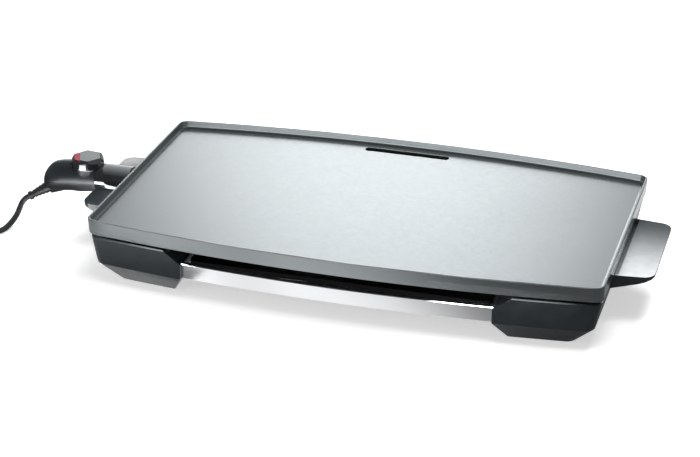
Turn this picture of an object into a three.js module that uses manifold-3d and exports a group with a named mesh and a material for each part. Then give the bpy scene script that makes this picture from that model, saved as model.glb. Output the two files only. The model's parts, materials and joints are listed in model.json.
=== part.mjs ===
// Teppanyaki griddle: a long cast plate on two moulded end frames, with a plug-in thermostat.
// Millimetres, +Z up, +X along the plate towards the plain handle, the viewer's side at -Y.

import * as THREE from 'three';
import { mergeVertices } from 'three/addons/utils/BufferGeometryUtils.js';
import Module from 'manifold-3d';

const wasm = await Module();
wasm.setup();

// Clearances between pieces
const seatGap = 0.3;
const runningGap = 0.6;

// How far a joined piece or a cutting tool runs past the face it meets
const overrun = 1;

// Griddle plate, a shallow cast tray with bowed long sides
const plateLength = 600;
const plateEnd = plateLength / 2;
const plateEndWidth = 306.8;
const plateBow = 21.4;
const plateEndSide = plateEndWidth / 2;
const plateSide = plateEndSide + plateBow;
const plateCornerRadius = 12;
const frameTop = 57;
const plateToFrame = 4.1;
const plateHeight = 17.8;
const basinDepth = 7.7;
const floorThickness = 5;
const rimThickness = 3;
const rimEdge = 0.5;
const outerDraft = 0.9;
const innerDraft = 1;
const floorFillet = 2.4;
const drainLength = 107;
const drainWidth = 11;
const drainToRim = 16;

// Heating element, pressed half into a cast ridge under the floor
const elementRadius = 3.25;
const elementDepth = 4;
const ridgeWall = 3;
const elementSideInset = 58.4;
const outerRun = plateEndSide - elementSideInset;
const innerRun = 32;
const elementEndInset = 50;
const elementEnd = plateEnd - elementEndInset;
const elementReturnInset = 60;
const elementReturn = plateEnd - elementReturnInset;
const innerTurnInset = 78;
const innerTurn = plateEnd - innerTurnInset;
const elementBend = 14;
const elementStartInset = 18;
const elementStart = plateEnd - elementStartInset;
const leadLevelLength = 6;
const leadBend = elementStart - leadLevelLength;
const leadRiseLength = 20;
const leadTop = leadBend - leadRiseLength;
const elementSides = 8;
const channelSides = 10;

// Terminals at the left end of the plate
const pinRadius = 2.2;
const pinSpacing = 21;
const pinBelowAxis = 4;
const pinReach = 22;
const pinTip = plateEnd + pinReach;
const insulatorRadius = 4.5;
const insulatorLength = 7;
const guardInset = 12;
const guardFront = plateEnd - guardInset;
const guardLength = 24;
const guardHalfWidth = 21;
const guardDepth = 9;
const sheetThickness = 1;
const guardFlange = 9;
const probeRadius = 2.5;
const probeDepth = 38;
const probeTip = plateEnd - probeDepth;
const sleeveWall = 0.7;
const sleeveEnd = leadTop;
const lugHalfWidth = 6.4;
const bossWall = 1;
const sleeveProud = 1.5;

// Moulded end frames with their feet
const frameInset = 2.6;
const frameWall = 3;
const frameBevel = 1.2;
const soleHeight = 0.8;
const kneeDepth = 32.6;
const kneeHeight = frameTop - kneeDepth;
const shoulderDepth = 15;
const shoulderHeight = frameTop - shoulderDepth;
const kneeEndInset = 8.7;
const soleEndInset = 30.3;
const soleSideInset = 20;
const footLength = 119;
const footToeSlope = 14.8;
const footShoulderSlope = 21.8;
const footInner = plateEnd - footLength;
const footToe = footInner + footToeSlope;
const footShoulder = footInner + footShoulderSlope;
const footWidth = 83.4;
const footBack = plateEndSide - footWidth;
const footBackSlope = 15;
const footBackToe = footBack + footBackSlope;
const postRadius = 8.5;
const postEndInset = 64;
const postX = plateEnd - postEndInset;
const postSideInset = 38.4;
const postY = plateEndSide - postSideInset;
const footPadRadius = 7.5;
const footPadHeight = 2.4;
const footPadBevel = 0.8;
const restPadRadius = 6.5;
const restPadDraft = 1;
const restStemRadius = 3;
const restStemLength = 8;

// Handles at both ends
const handleRootInset = 8;
const handleRoot = plateEnd - handleRootInset;
const handleLength = 50;
const handleTip = handleRoot + handleLength;
const handleRise = 0.5;
const handleHalfWidth = 76.5;
const handleTaper = 5.5;
const handleCorner = 14;
const handleCornerSteps = 5;
const handleRootDepth = 17.5;
const handleMidDepth = 9;
const handleTipDepth = 3;
const handleTipLength = 17;
const handleMid = handleTip - handleTipLength;
const handleSkin = 2.8;
const grooveInset = 2;
const grooveStart = plateEnd - grooveInset;
const grooveWidth = 5;
const grooveEnd = grooveStart + grooveWidth;
const grooveDepth = 5.5;
const channelHalfWidth = 25;
const channelCorner = 9;
const notchHalfWidth = 17;
const notchDepth = 10;
const notchFloor = frameTop - notchDepth;

// Curved steel rails between the feet
const railInset = 7;
const railThickness = 1.5;
const railDrop = 15;
const railTop = frameTop - railDrop;
const railHeight = 18;
const railBottom = railTop - railHeight;
const railFlange = 7;
const railLap = 25;
const railScrewLap = 18;
const railEnd = footInner + railLap;
const railScrewX = footInner + railScrewLap;
const railScrewReach = 8;
const slotBevel = 0.8;

// Heat shield pan under the element
const panToFoot = 4;
const panCentreLength = footInner - panToFoot;
const panSideInset = 26.8;
const panHalfWidth = plateSide - panSideInset;
const panLobeInset = 16;
const panLobeLength = plateEnd - panLobeInset;
const lobeToFoot = 6;
const panLobeHalfWidth = footBack - lobeToFoot;
const panBelowRail = 1;
const panRim = railTop - panBelowRail;
const panCorner = 8;
const shelfDepth = 32;
const shelfReach = plateEnd - shelfDepth;
const shelfToFoot = 10;
const shelfHalfWidth = footBack - shelfToFoot;
const shelfThickness = 3;
const shelfAboveKnee = 0.4;
const shelfBottom = kneeHeight + shelfAboveKnee;
const shelfScrewInset = 24;
const shelfScrewX = plateEnd - shelfScrewInset;
const shelfScrewSideInset = 15;
const shelfScrewY = shelfHalfWidth - shelfScrewSideInset;
const shelfBossRadius = 4.5;
const shelfBossDepth = 5;

// Drip tray behind the middle of the plate, and its runners
const trayHalfLength = 75;
const trayLength = 64;
const trayInset = 2.8;
const trayBack = plateSide - trayInset;
const trayFront = trayBack - trayLength;
const trayWall = 1.6;
const trayDepth = 14.3;
const trayRise = 0.5;
const trayTop = frameTop + trayRise;
const trayBottom = trayTop - trayDepth;
const trayCorner = 6;
const trayLip = 5;
const trayGripHeight = 3;
const runnerThickness = 1;
const runnerLedge = 7;
const runnerFoot = 9;
const runnerDrop = 4;
const runnerTop = trayTop - runnerDrop;
const runnerLead = 8;
const runnerFront = trayFront - runnerLead;
const runnerSetback = 26;
const runnerBack = trayBack - runnerSetback;

// Plug-in thermostat
const axisAboveFrame = 3;
const axisHeight = frameTop + axisAboveFrame;
const collarRadius = 17.5;
const collarWall = 2;
const plateToCollar = 3.3;
const collarFront = plateEnd + plateToCollar;
const collarLength = 52.7;
const seamX = collarFront + collarLength;
const spigotLength = 7;
const spigotWall = 1.6;
const gripRadius = 18;
const gripWall = 2.4;
const gripSides = 20;
const roundSides = 28;
const gripLength = 66;
const gripRear = seamX + gripLength;
const splitBelowAxis = 4;
const splitHeight = axisHeight - splitBelowAxis;
const noseLength = 28;
const noseRecess = 1;
const noseToSwitch = 6;
const contactWall = 0.7;
const contactGap = 0.4;
const contactLength = 24;
const switchLength = 50;
const switchHalfWidth = 8.5;
const switchHalfHeight = 9;
const switchStep = 4;
const switchStepLength = 17;
const switchSlots = 3;
const switchSlotWidth = 3;
const switchSlotPitch = 9;
const restFront = 12;
const restLength = 12;
const plinthRadius = 18.2;
const plinthRise = 12.4;
const plinthTop = axisHeight + plinthRise;
const plinthFoot = axisHeight;
const apronDepth = 5.8;
const knobToSeam = 6.5;
const knobX = seamX + knobToSeam;
const knobRadius = 19.6;
const knobSide = 8.5;
const knobBevel = 4;
const knobTopRadius = 15.4;
const knobTurn = 23;
const knobFacets = 6;
const knobEdge = 1;
const knobSlope = 0.95;
const capThickness = 0.8;
const capInset = 0.7;
const capCorner = 3;
const lensTurn = 203;
const lensInner = 9.6;
const lensRadius = 16.8;
const lensSides = 12;
const lensSkirt = 1.5;
const spindleRadius = 3;
const spindleCover = 4;
const shellScrewToRear = 25;
const shellScrewX = gripRear - shellScrewToRear;
const shellScrewY = 8;
const shellScrewSeat = 12;
const shellScrewReach = 9;
const shellColumnWall = 1.5;

// Screws
const screwRadius = 1.5;
const screwHeadRadius = 2.6;
const screwHeadHeight = 1.8;
const screwSlotHalf = 0.35;
const screwSides = 10;
const holeSides = 12;

// Mains cord; its points are given by their distance past the rear of the grip
function cordPoint(past, y, z) {
  return new THREE.Vector3(-gripRear - past, y, z);
}
const cordDiameter = 7;
const reliefStart = cordPoint(-13, -0.5, axisHeight - 17);
const reliefEnd = cordPoint(14, -18, 29.6);
const reliefRootRadius = 6.8;
const reliefTipRadius = 4.6;
const reliefCollar = 5.4;
const reliefFlange = 1.3;
const reliefFlangeDepth = 2.4;
const reliefRibs = 4;
const spoutLength = 9;
const spoutWall = 1.9;
const spoutRootRadius = 13;
const spoutRootDepth = 6;
const coilCentre = cordPoint(98, -130, 0);
const coilInner = 28.2;
const coilTurns = 2.5;
const coilPitch = 7.7;
const coilDip = 2.5;
const coilSteps = 24;
const coilSides = 6;
const surfaceGap = 0.1;
const plugRadius = 18.5;
const plugX = -gripRear - 124;
const plugRear = -26;
const plugLength = 46;
const plugPinRadius = 2.4;
const plugPinLength = 19;
const plugPinSpacing = 19;
const plugPinSeat = 8;
const plugPinPoint = 1.5;
const plugFlatHalf = 15.5;
const plugFlatHeight = 8;

// Levels and places that follow from the sizes above
const skirtBottom = frameTop + plateToFrame;
const rimTop = skirtBottom + plateHeight;
const floorTop = rimTop - basinDepth;
const floorUnder = floorTop - floorThickness;
const elementHeight = floorUnder - elementDepth;
const pinHeight = axisHeight - pinBelowAxis;
const pinY = pinSpacing / 2;
const bowRadius = ((plateLength / 2) ** 2 + plateBow ** 2) / (2 * plateBow);
const bowCentre = bowRadius - plateEndWidth / 2 - plateBow;
const panBottom = shelfBottom + shelfThickness + seatGap;
const knobBottom = plinthTop + runningGap;
const knobTop = knobBottom + knobSide + knobBevel;
const collarInner = collarRadius - collarWall;
const noseRear = collarFront + noseLength;
const switchFront = noseRear + noseToSwitch;
const handleTop = frameTop + handleRise;
const originShift = (gripRear - handleTip) / 2;
const cordRadius = cordDiameter / 2;
const railScrewInset = railInset + railThickness + seatGap + screwHeadRadius;

// Materials
function finish(colour, roughness, metalness = 0) {
  return new THREE.MeshStandardMaterial({ color: colour, roughness, metalness });
}
const castCoating = finish(0x8d9494, 0.45, 0.5);
const blackPlastic = finish(0x2b3034, 0.45);
const glossBlack = finish(0x101214, 0.12);
const brightSteel = finish(0xe4e6e8, 0.25, 1);
const darkSheet = finish(0x0b0c0d, 0.6, 0.3);
const elementSteel = finish(0x55585a, 0.4, 0.9);
const screwSteel = finish(0xa8abad, 0.35, 1);
const brass = finish(0xb8964a, 0.35, 1);
const ceramic = finish(0xe6e1d6, 0.6);
const rubber = finish(0x1a1b1c, 0.85);
const silicone = finish(0x3a3d40, 0.8);
const satinGrey = finish(0xa4a8ab, 0.35, 0.6);
const redLens = finish(0xc4202a, 0.2);
const cordRubber = finish(0x2c2f31, 0.6);

// Solids

function solid(geometry) {
  const bare = geometry.clone();
  bare.deleteAttribute('normal');
  bare.deleteAttribute('uv');
  const merged = mergeVertices(bare, 1e-4);
  const vertProperties = new Float32Array(merged.attributes.position.array);
  const triVerts = new Uint32Array(merged.index.array);
  return new wasm.Manifold(new wasm.Mesh({ numProp: 3, vertProperties, triVerts }));
}

function geometryOf(body) {
  const mesh = body.getMesh();
  const geometry = new THREE.BufferGeometry();
  geometry.setAttribute('position', new THREE.BufferAttribute(mesh.vertProperties, 3));
  geometry.setIndex(new THREE.BufferAttribute(mesh.triVerts, 1));
  geometry.computeVertexNormals();
  return geometry;
}

// A solid moved by a matrix; a mirror's faces are turned the right way out again.
function moved(body, matrix) {
  const geometry = geometryOf(body).applyMatrix4(matrix);
  const index = geometry.index.array;
  if (matrix.determinant() < 0) {
    for (let i = 0; i < index.length; i += 3) [index[i], index[i + 1]] = [index[i + 1], index[i]];
  }
  return solid(geometry);
}

function joined(...bodies) {
  return bodies.reduce((sum, body) => sum.add(body));
}

function cut(body, ...tools) {
  return tools.reduce((rest, tool) => rest.subtract(tool), body);
}

// Rounds each corner [x, y, radius] of a path; a corner without a radius stays sharp.
function rounded(corners, { steps = 3, closed = true } = {}) {
  const last = corners.length - 1;
  return corners.flatMap(([x, y, radius = 0], i) => {
    const corner = new THREE.Vector2(x, y);
    if (radius <= 0 || (!closed && (i === 0 || i === last))) return [corner];
    const before = corners[i === 0 ? last : i - 1];
    const after = corners[i === last ? 0 : i + 1];
    const toBefore = new THREE.Vector2(before[0] - x, before[1] - y).normalize();
    const toAfter = new THREE.Vector2(after[0] - x, after[1] - y).normalize();
    const half = Math.acos(THREE.MathUtils.clamp(toBefore.dot(toAfter), -1, 1)) / 2;
    const middle = toBefore.clone().add(toAfter).normalize();
    const centre = corner.clone().addScaledVector(middle, radius / Math.sin(half));
    const start = corner.clone().addScaledVector(toBefore, radius / Math.tan(half)).sub(centre);
    const sweep = Math.PI - 2 * half;
    const turn = Math.sign(toBefore.cross(toAfter)) * -sweep;
    return Array.from({ length: steps + 1 }, (_, k) =>
      start.clone().rotateAround(new THREE.Vector2(), (turn * k) / steps).add(centre));
  });
}

const planes = {
  xy: [new THREE.Vector3(1, 0, 0), new THREE.Vector3(0, 1, 0), new THREE.Vector3(0, 0, 1)],
  xz: [new THREE.Vector3(1, 0, 0), new THREE.Vector3(0, 0, 1), new THREE.Vector3(0, -1, 0)],
  yz: [new THREE.Vector3(0, 1, 0), new THREE.Vector3(0, 0, 1), new THREE.Vector3(1, 0, 0)],
};

// Extrudes an outline drawn in a plane of the frame, between two values of the third axis.
function prism(plane, corners, from, to, steps = 3) {
  const shape = new THREE.Shape(rounded(corners, { steps }));
  const geometry = new THREE.ExtrudeGeometry(shape, { depth: to - from, bevelEnabled: false });
  const [u, v, w] = planes[plane];
  geometry.applyMatrix4(new THREE.Matrix4().makeBasis(u, v, w));
  geometry.translate(...w.clone().multiplyScalar(plane === 'xz' ? -to : from).toArray());
  return solid(geometry);
}

function block([x0, x1], [y0, y1], [z0, z1]) {
  const geometry = new THREE.BoxGeometry(x1 - x0, y1 - y0, z1 - z0);
  geometry.translate((x0 + x1) / 2, (y0 + y1) / 2, (z0 + z1) / 2);
  return solid(geometry);
}

// A round bar along an axis, from one value to another, at the other two coordinates of place.
function rod(axis, radius, from, to, place, { endRadius = radius, sides = 16 } = {}) {
  const geometry = new THREE.CylinderGeometry(endRadius, radius, to - from, sides);
  if (axis === 'x') geometry.rotateZ(-Math.PI / 2);
  if (axis === 'z') geometry.rotateX(Math.PI / 2);
  const middle = new THREE.Vector3(...place);
  middle[axis] = (from + to) / 2;
  geometry.translate(middle.x, middle.y, middle.z);
  return solid(geometry);
}

// A solid through a run of closed rings with equal counts, closed at both ends.
function loftGeometry(rings) {
  const count = rings[0].length;
  const points = rings.flat();
  const middles = [rings[0], rings.at(-1)].map((ring) =>
    ring.reduce((sum, point) => sum.add(point), new THREE.Vector3()).divideScalar(count));
  const first = points.length;
  const indices = [];
  for (let ring = 0; ring < rings.length - 1; ring += 1) {
    for (let k = 0; k < count; k += 1) {
      const a = ring * count + k;
      const b = ring * count + ((k + 1) % count);
      indices.push(a, b, b + count, a, b + count, a + count);
    }
  }
  const lastRing = (rings.length - 1) * count;
  for (let k = 0; k < count; k += 1) {
    const next = (k + 1) % count;
    indices.push(first, next, k, first + 1, lastRing + k, lastRing + next);
  }
  const all = [...points, ...middles];
  const facing = indices.reduce((sum, a, i) => {
    if (i % 3) return sum;
    return sum + all[a].dot(new THREE.Vector3().crossVectors(all[indices[i + 1]], all[indices[i + 2]]));
  }, 0);
  if (facing < 0) indices.reverse();
  const geometry = new THREE.BufferGeometry();
  const positions = new Float32Array(all.flatMap((point) => point.toArray()));
  geometry.setAttribute('position', new THREE.BufferAttribute(positions, 3));
  geometry.setIndex(indices);
  return geometry;
}

function loft(rings) {
  return solid(loftGeometry(rings));
}

// Rings of a section swept along points; the section's second axis stays as upright as it can.
function sweepRings(path, section) {
  const up = new THREE.Vector3(0, 0, 1);
  return path.map((point, i) => {
    const before = path[Math.max(i - 1, 0)];
    const after = path[Math.min(i + 1, path.length - 1)];
    const incoming = point.clone().sub(before).normalize();
    const outgoing = after.clone().sub(point).normalize();
    const along = incoming.clone().add(outgoing).normalize();
    const side = new THREE.Vector3().crossVectors(along, up).normalize();
    const rise = new THREE.Vector3().crossVectors(side, along);
    const mitre = 1 / Math.max(along.dot(i === 0 ? outgoing : incoming), 0.5);
    return section.map(([u, v]) =>
      point.clone().addScaledVector(side, u * mitre).addScaledVector(rise, v));
  });
}

function circleSection(radius, sides) {
  return Array.from({ length: sides }, (_, k) => {
    const angle = ((k + 0.5) / sides) * 2 * Math.PI;
    return [radius * Math.cos(angle), radius * Math.sin(angle)];
  });
}

// Half width of the tray at x, drawn in by an inset.
function sideAt(x, inset) {
  return Math.sqrt((bowRadius - inset) ** 2 - x * x) - bowCentre;
}

// Plan outline of the tray at a height: straight ends, bowed long sides, rounded corners.
function trayRing(endInset, sideInset, corner, height) {
  const half = plateLength / 2 - endInset;
  const steps = 12;
  const front = Array.from({ length: steps + 1 }, (_, i) => {
    const x = -half + (2 * half * i) / steps;
    return [x, -sideAt(x, sideInset), i % steps === 0 ? corner : 0];
  });
  const back = front.map(([x, y, radius]) => [x, -y, radius]).reverse();
  return rounded([...front, ...back]).map(({ x, y }) => new THREE.Vector3(x, y, height));
}

const railScrewY = sideAt(railScrewX, railScrewInset);

const group = new THREE.Group();
group.name = 'teppanyaki_griddle';
const assembly = new THREE.Group();
assembly.position.x = originShift;
group.add(assembly);

function addPiece(name, body, material) {
  const mesh = new THREE.Mesh(body.isBufferGeometry ? body : geometryOf(body), material);
  mesh.name = name;
  assembly.add(mesh);
}

const ends = [['left', -1], ['right', 1]];
const sides = [['front', -1], ['rear', 1]];

// Makes the same thing at the front, on the side -1, and at the rear, on the side 1.
function bothSides(make) {
  return sides.map(([, side]) => make(side));
}

// Plate

function elementPath() {
  const corners = [
    [-elementStart, -pinY],
    [-elementReturn, -pinY, elementBend],
    [-elementReturn, -outerRun, elementBend],
    [elementEnd, -outerRun, (outerRun - innerRun) / 2],
    [elementEnd, -innerRun, (outerRun - innerRun) / 2],
    [-innerTurn, -innerRun, innerRun],
    [-innerTurn, innerRun, innerRun],
    [elementEnd, innerRun, (outerRun - innerRun) / 2],
    [elementEnd, outerRun, (outerRun - innerRun) / 2],
    [-elementReturn, outerRun, elementBend],
    [-elementReturn, pinY, elementBend],
    [-elementStart, pinY],
  ];
  return rounded(corners, { steps: 5, closed: false })
    .filter((point, i, all) => i === 0 || point.distanceTo(all[i - 1]) > 0.01)
    .map(({ x, y }) => new THREE.Vector3(x, y, elementHeight));
}

function elementWithLeads() {
  return [...leadPath(-1), ...elementPath().slice(1, -1), ...leadPath(1).reverse()];
}

function ridgePath() {
  return [leadPath(-1).at(-1), ...elementPath().slice(1, -1), leadPath(1).at(-1)];
}

const drainY = sideAt(0, rimThickness) - drainToRim - drainWidth / 2;
const guardBossY = guardHalfWidth + sheetThickness + guardFlange / 2;
const guardBossX = -(guardFront - guardLength / 2);
const guardFlangeTop = skirtBottom + 1;
const insulatorFront = guardFront + 2;
const sleeveInner = probeRadius + runningGap;
const sleeveOuter = sleeveInner + sleeveWall;

// The way of one lead, from its terminal up to the ridge.
function leadPath(side) {
  return [
    new THREE.Vector3(-elementStart, side * pinY, pinHeight),
    new THREE.Vector3(-leadBend, side * pinY, pinHeight),
    new THREE.Vector3(-leadTop, side * pinY, elementHeight),
  ];
}

function griddlePlate() {
  const skirtInset = outerDraft + rimThickness;
  const floorInset = rimThickness + innerDraft;
  const levels = [
    [skirtInset, floorUnder],
    [skirtInset, skirtBottom],
    [outerDraft, skirtBottom],
    [0, rimTop - rimEdge],
    [rimEdge, rimTop],
    [rimThickness - rimEdge, rimTop],
    [rimThickness, rimTop - rimEdge],
    [floorInset, floorTop + floorFillet],
    [floorInset + 0.4 * floorFillet, floorTop + 0.4 * floorFillet],
    [floorInset + floorFillet, floorTop],
  ];
  const tray = loft(levels.map(([inset, height]) =>
    trayRing(inset, inset, plateCornerRadius - inset, height)));
  const ridgeHalf = elementRadius + ridgeWall;
  const ridgeTop = elementDepth + overrun;
  const ridge = loft(sweepRings(ridgePath(),
    [[-ridgeHalf, 0], [ridgeHalf, 0], [ridgeHalf, ridgeTop], [-ridgeHalf, ridgeTop]]));
  const channelSection = circleSection(elementRadius + seatGap, channelSides);
  const channel = loft(sweepRings(ridgePath(), channelSection));
  const leadChannels = bothSides((side) => loft(sweepRings([
    ...leadPath(side),
    new THREE.Vector3(-leadTop + overrun, side * pinY, elementHeight),
  ], channelSection)));
  const lug = block([-elementStart + seatGap, -sleeveEnd],
    [-lugHalfWidth, lugHalfWidth], [pinHeight - lugHalfWidth, floorUnder + overrun]);
  const lugBore = rod('x', sleeveOuter + seatGap, -guardFront, -sleeveEnd + overrun, [0, 0, pinHeight]);
  const bosses = bothSides((side) => rod('z', screwHeadRadius + bossWall, guardFlangeTop + seatGap,
    floorUnder + overrun, [guardBossX, side * guardBossY, 0]));
  const bossHoles = bothSides((side) => rod('z', screwRadius + seatGap, guardFlangeTop - overrun,
    floorUnder + 2 * overrun, [guardBossX, side * guardBossY, 0], { sides: holeSides }));
  const drainHalf = drainLength / 2;
  const drainCorner = 0.49 * drainWidth;
  const drain = prism('xy', [
    [-drainHalf, drainY - drainWidth / 2, drainCorner], [drainHalf, drainY - drainWidth / 2, drainCorner],
    [drainHalf, drainY + drainWidth / 2, drainCorner], [-drainHalf, drainY + drainWidth / 2, drainCorner],
  ], floorUnder - overrun, floorTop + overrun, 4);
  return cut(joined(tray, ridge, lug, ...bosses), channel, lugBore, ...bossHoles, drain, ...leadChannels);
}

addPiece('griddle_plate', griddlePlate(), castCoating);
addPiece('heating_element', loft(sweepRings(elementWithLeads(), circleSection(elementRadius, elementSides))),
  elementSteel);

for (const [name, side] of sides) {
  const place = [0, side * pinY, pinHeight];
  addPiece(`terminal_pin_${name}`, rod('x', pinRadius, -pinTip, -elementStart - seatGap, place), brass);
  const bore = rod('x', pinRadius + seatGap, -insulatorFront - overrun, -elementStart + overrun, place);
  const bead = rod('x', insulatorRadius, -insulatorFront, -insulatorFront + insulatorLength, place);
  addPiece(`terminal_insulator_${name}`, cut(bead, bore), ceramic);
}

addPiece('probe_sleeve', cut(
  rod('x', sleeveOuter, -guardFront - sleeveProud, -sleeveEnd, [0, 0, pinHeight]),
  rod('x', sleeveInner, -guardFront - 2 * sleeveProud, -sleeveEnd + overrun, [0, 0, pinHeight]),
), brass);

function terminalGuard() {
  const bottom = pinHeight - guardDepth;
  const outer = guardHalfWidth + sheetThickness;
  const reach = outer + guardFlange;
  const back = -guardFront + guardLength;
  const section = [
    [-reach, guardFlangeTop - sheetThickness], [-outer, guardFlangeTop - sheetThickness],
    [-outer, bottom, 3], [outer, bottom, 3],
    [outer, guardFlangeTop - sheetThickness], [reach, guardFlangeTop - sheetThickness],
    [reach, guardFlangeTop], [outer - sheetThickness, guardFlangeTop],
    [outer - sheetThickness, bottom + sheetThickness, 2], [-outer + sheetThickness, bottom + sheetThickness, 2],
    [-outer + sheetThickness, guardFlangeTop], [-reach, guardFlangeTop],
  ];
  const trough = prism('yz', section, -guardFront, back);
  const faceHalf = guardHalfWidth + sheetThickness / 2;
  const faceFoot = bottom + sheetThickness / 2;
  const face = prism('yz', [[-faceHalf, faceFoot], [faceHalf, faceFoot],
    [faceHalf, guardFlangeTop], [-faceHalf, guardFlangeTop]], -guardFront, -guardFront + sheetThickness);
  const faceBack = -guardFront + sheetThickness + overrun;
  const beadHoles = bothSides((side) => rod('x', insulatorRadius + seatGap, -guardFront - overrun, faceBack,
    [0, side * pinY, pinHeight]));
  const sleeveHole = rod('x', sleeveOuter + seatGap, -guardFront - overrun, faceBack, [0, 0, pinHeight]);
  const screwHoles = bothSides((side) => rod('z', screwRadius + seatGap, guardFlangeTop - 2 * sheetThickness,
    guardFlangeTop + overrun, [guardBossX, side * guardBossY, 0], { sides: holeSides }));
  return cut(joined(trough, face), ...beadHoles, sleeveHole, ...screwHoles);
}
addPiece('terminal_guard', terminalGuard(), brightSteel);

// A screw along Z: a shallow domed head with a slot at one end of its shank.
function screw(x, y, seat, tip) {
  const out = Math.sign(seat - tip);
  const profile = [
    [0, tip], [screwRadius, tip + out * screwRadius], [screwRadius, seat], [screwHeadRadius, seat],
    [screwHeadRadius * 0.7, seat + out * screwHeadHeight], [0, seat + out * screwHeadHeight],
  ].map(([radius, height]) => new THREE.Vector2(radius, height));
  if (out < 0) profile.reverse();
  const geometry = new THREE.LatheGeometry(profile, screwSides);
  geometry.rotateX(Math.PI / 2);
  geometry.translate(x, y, 0);
  const end = seat + out * screwHeadHeight;
  const depth = screwHeadHeight * 0.5;
  const low = Math.min(end - out * depth, end + out * overrun);
  const high = Math.max(end - out * depth, end + out * overrun);
  const recess = block([x - screwHeadRadius, x + screwHeadRadius],
    [y - screwSlotHalf, y + screwSlotHalf], [low, high]);
  return cut(solid(geometry), recess);
}

for (const [name, side] of sides) {
  const seat = guardFlangeTop - sheetThickness - seatGap;
  addPiece(`guard_screw_${name}`, screw(guardBossX, side * guardBossY, seat, floorUnder + overrun), screwSteel);
}

// End frames

// The whole base's outer form, as one block the end frames are cut from.
function baseForm(inset, top, bottom) {
  const corner = plateCornerRadius - inset;
  const knee = [kneeEndInset + inset, frameInset + inset];
  const crown = [frameInset + inset, frameInset + inset];
  const levels = [
    [soleEndInset + inset, soleSideInset + inset, bottom],
    [...knee, kneeHeight],
    [...crown, top - (inset ? 0 : frameBevel)],
    [crown[0] + (inset ? 0 : frameBevel), crown[1] + (inset ? 0 : frameBevel), top],
  ].filter(([, , height], i, all) => i === 0 || height > all[i - 1][2] + 0.01);
  return loft(levels.map(([end, side, height]) => trayRing(end, side, corner, height)));
}

// The foot seen from the front, from its stepped inner edge outwards.
function footFace(inset) {
  const far = plateLength;
  return prism('xz', [
    [footToe + inset, -soleHeight * 2], [footToe + inset, soleHeight],
    [footInner + inset, kneeHeight, 1], [footInner + inset, shoulderHeight, 3],
    [footShoulder + inset, frameTop, 1], [footShoulder + inset + 3, frameTop + 5],
    [far, frameTop + 5], [far, -soleHeight * 2],
  ].reverse(), -plateLength, plateLength);
}

// The foot seen from the end, from its sloped inner edge towards the front or the rear.
function footSide(direction, inset) {
  const back = direction * (footBack + inset);
  const toe = direction * (footBackToe + inset);
  const far = direction * plateLength;
  const corners = [
    [toe, -soleHeight * 2], [toe, soleHeight], [back, shelfBottom], [back, frameTop + 5],
    [far, frameTop + 5], [far, -soleHeight * 2],
  ];
  return prism('yz', direction > 0 ? corners.reverse() : corners, 0, plateLength);
}

// A rail's or its slot's curved section; direction is -1 at the front and 1 at the rear.
function railSweep(direction, section, halfLength) {
  const steps = 14;
  const half = Math.asin(halfLength / bowRadius);
  const rings = Array.from({ length: steps + 1 }, (_, i) => {
    const angle = -half + (2 * half * i) / steps;
    return section.map(([inset, height]) => {
      const reach = bowRadius - inset;
      const y = reach * Math.cos(angle) - bowCentre;
      return new THREE.Vector3(reach * Math.sin(angle), direction * y, height);
    });
  });
  return loft(rings);
}

function railSection(gap) {
  const web = [railInset - gap, railInset + railThickness + gap];
  return [
    [web[0], railBottom - gap], [web[1], railBottom - gap],
    [web[1], railTop - railThickness - gap], [railInset + railFlange + gap, railTop - railThickness - gap],
    [railInset + railFlange + gap, railTop + gap], [web[0] + slotBevel, railTop + gap],
    [web[0], railTop + gap - slotBevel],
  ];
}

// One half of a handle wing: a skinned wedge, open below, with rounded outer corners.
function wing(front, back, frontTaper, backTaper, frontCorner, backCorner) {
  const plan = (inset) => [
    [handleRoot, front + inset], [handleTip - inset, front + frontTaper + inset, frontCorner - inset],
    [handleTip - inset, back - backTaper - inset, backCorner - inset], [handleRoot, back - inset],
  ];
  const profile = (drop, under) => [
    [handleRoot, handleTop - drop], [handleRoot, handleTop - handleRootDepth - under],
    [handleMid, handleTop - handleMidDepth - under], [handleTip, handleTop - handleTipDepth - under],
    [handleTip, handleTop - drop],
  ];
  const wide = [-plateLength, plateLength];
  const outer = prism('xy', plan(0), 0, rimTop, handleCornerSteps)
    .intersect(prism('xz', profile(0, 0), ...wide));
  const inner = prism('xy', plan(handleSkin), 0, rimTop, handleCornerSteps)
    .intersect(prism('xz', profile(handleSkin, 12 * overrun), ...wide))
    .intersect(block([grooveEnd + handleSkin - overrun, handleTip], wide, [0, rimTop]));
  return cut(outer, inner);
}

function handle(split) {
  if (!split) {
    return wing(-handleHalfWidth, handleHalfWidth, handleTaper, handleTaper, handleCorner, handleCorner);
  }
  return joined(
    wing(-handleHalfWidth, -channelHalfWidth, handleTaper, 0, handleCorner, channelCorner),
    wing(channelHalfWidth, handleHalfWidth, 0, handleTaper, channelCorner, handleCorner),
  );
}

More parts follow.
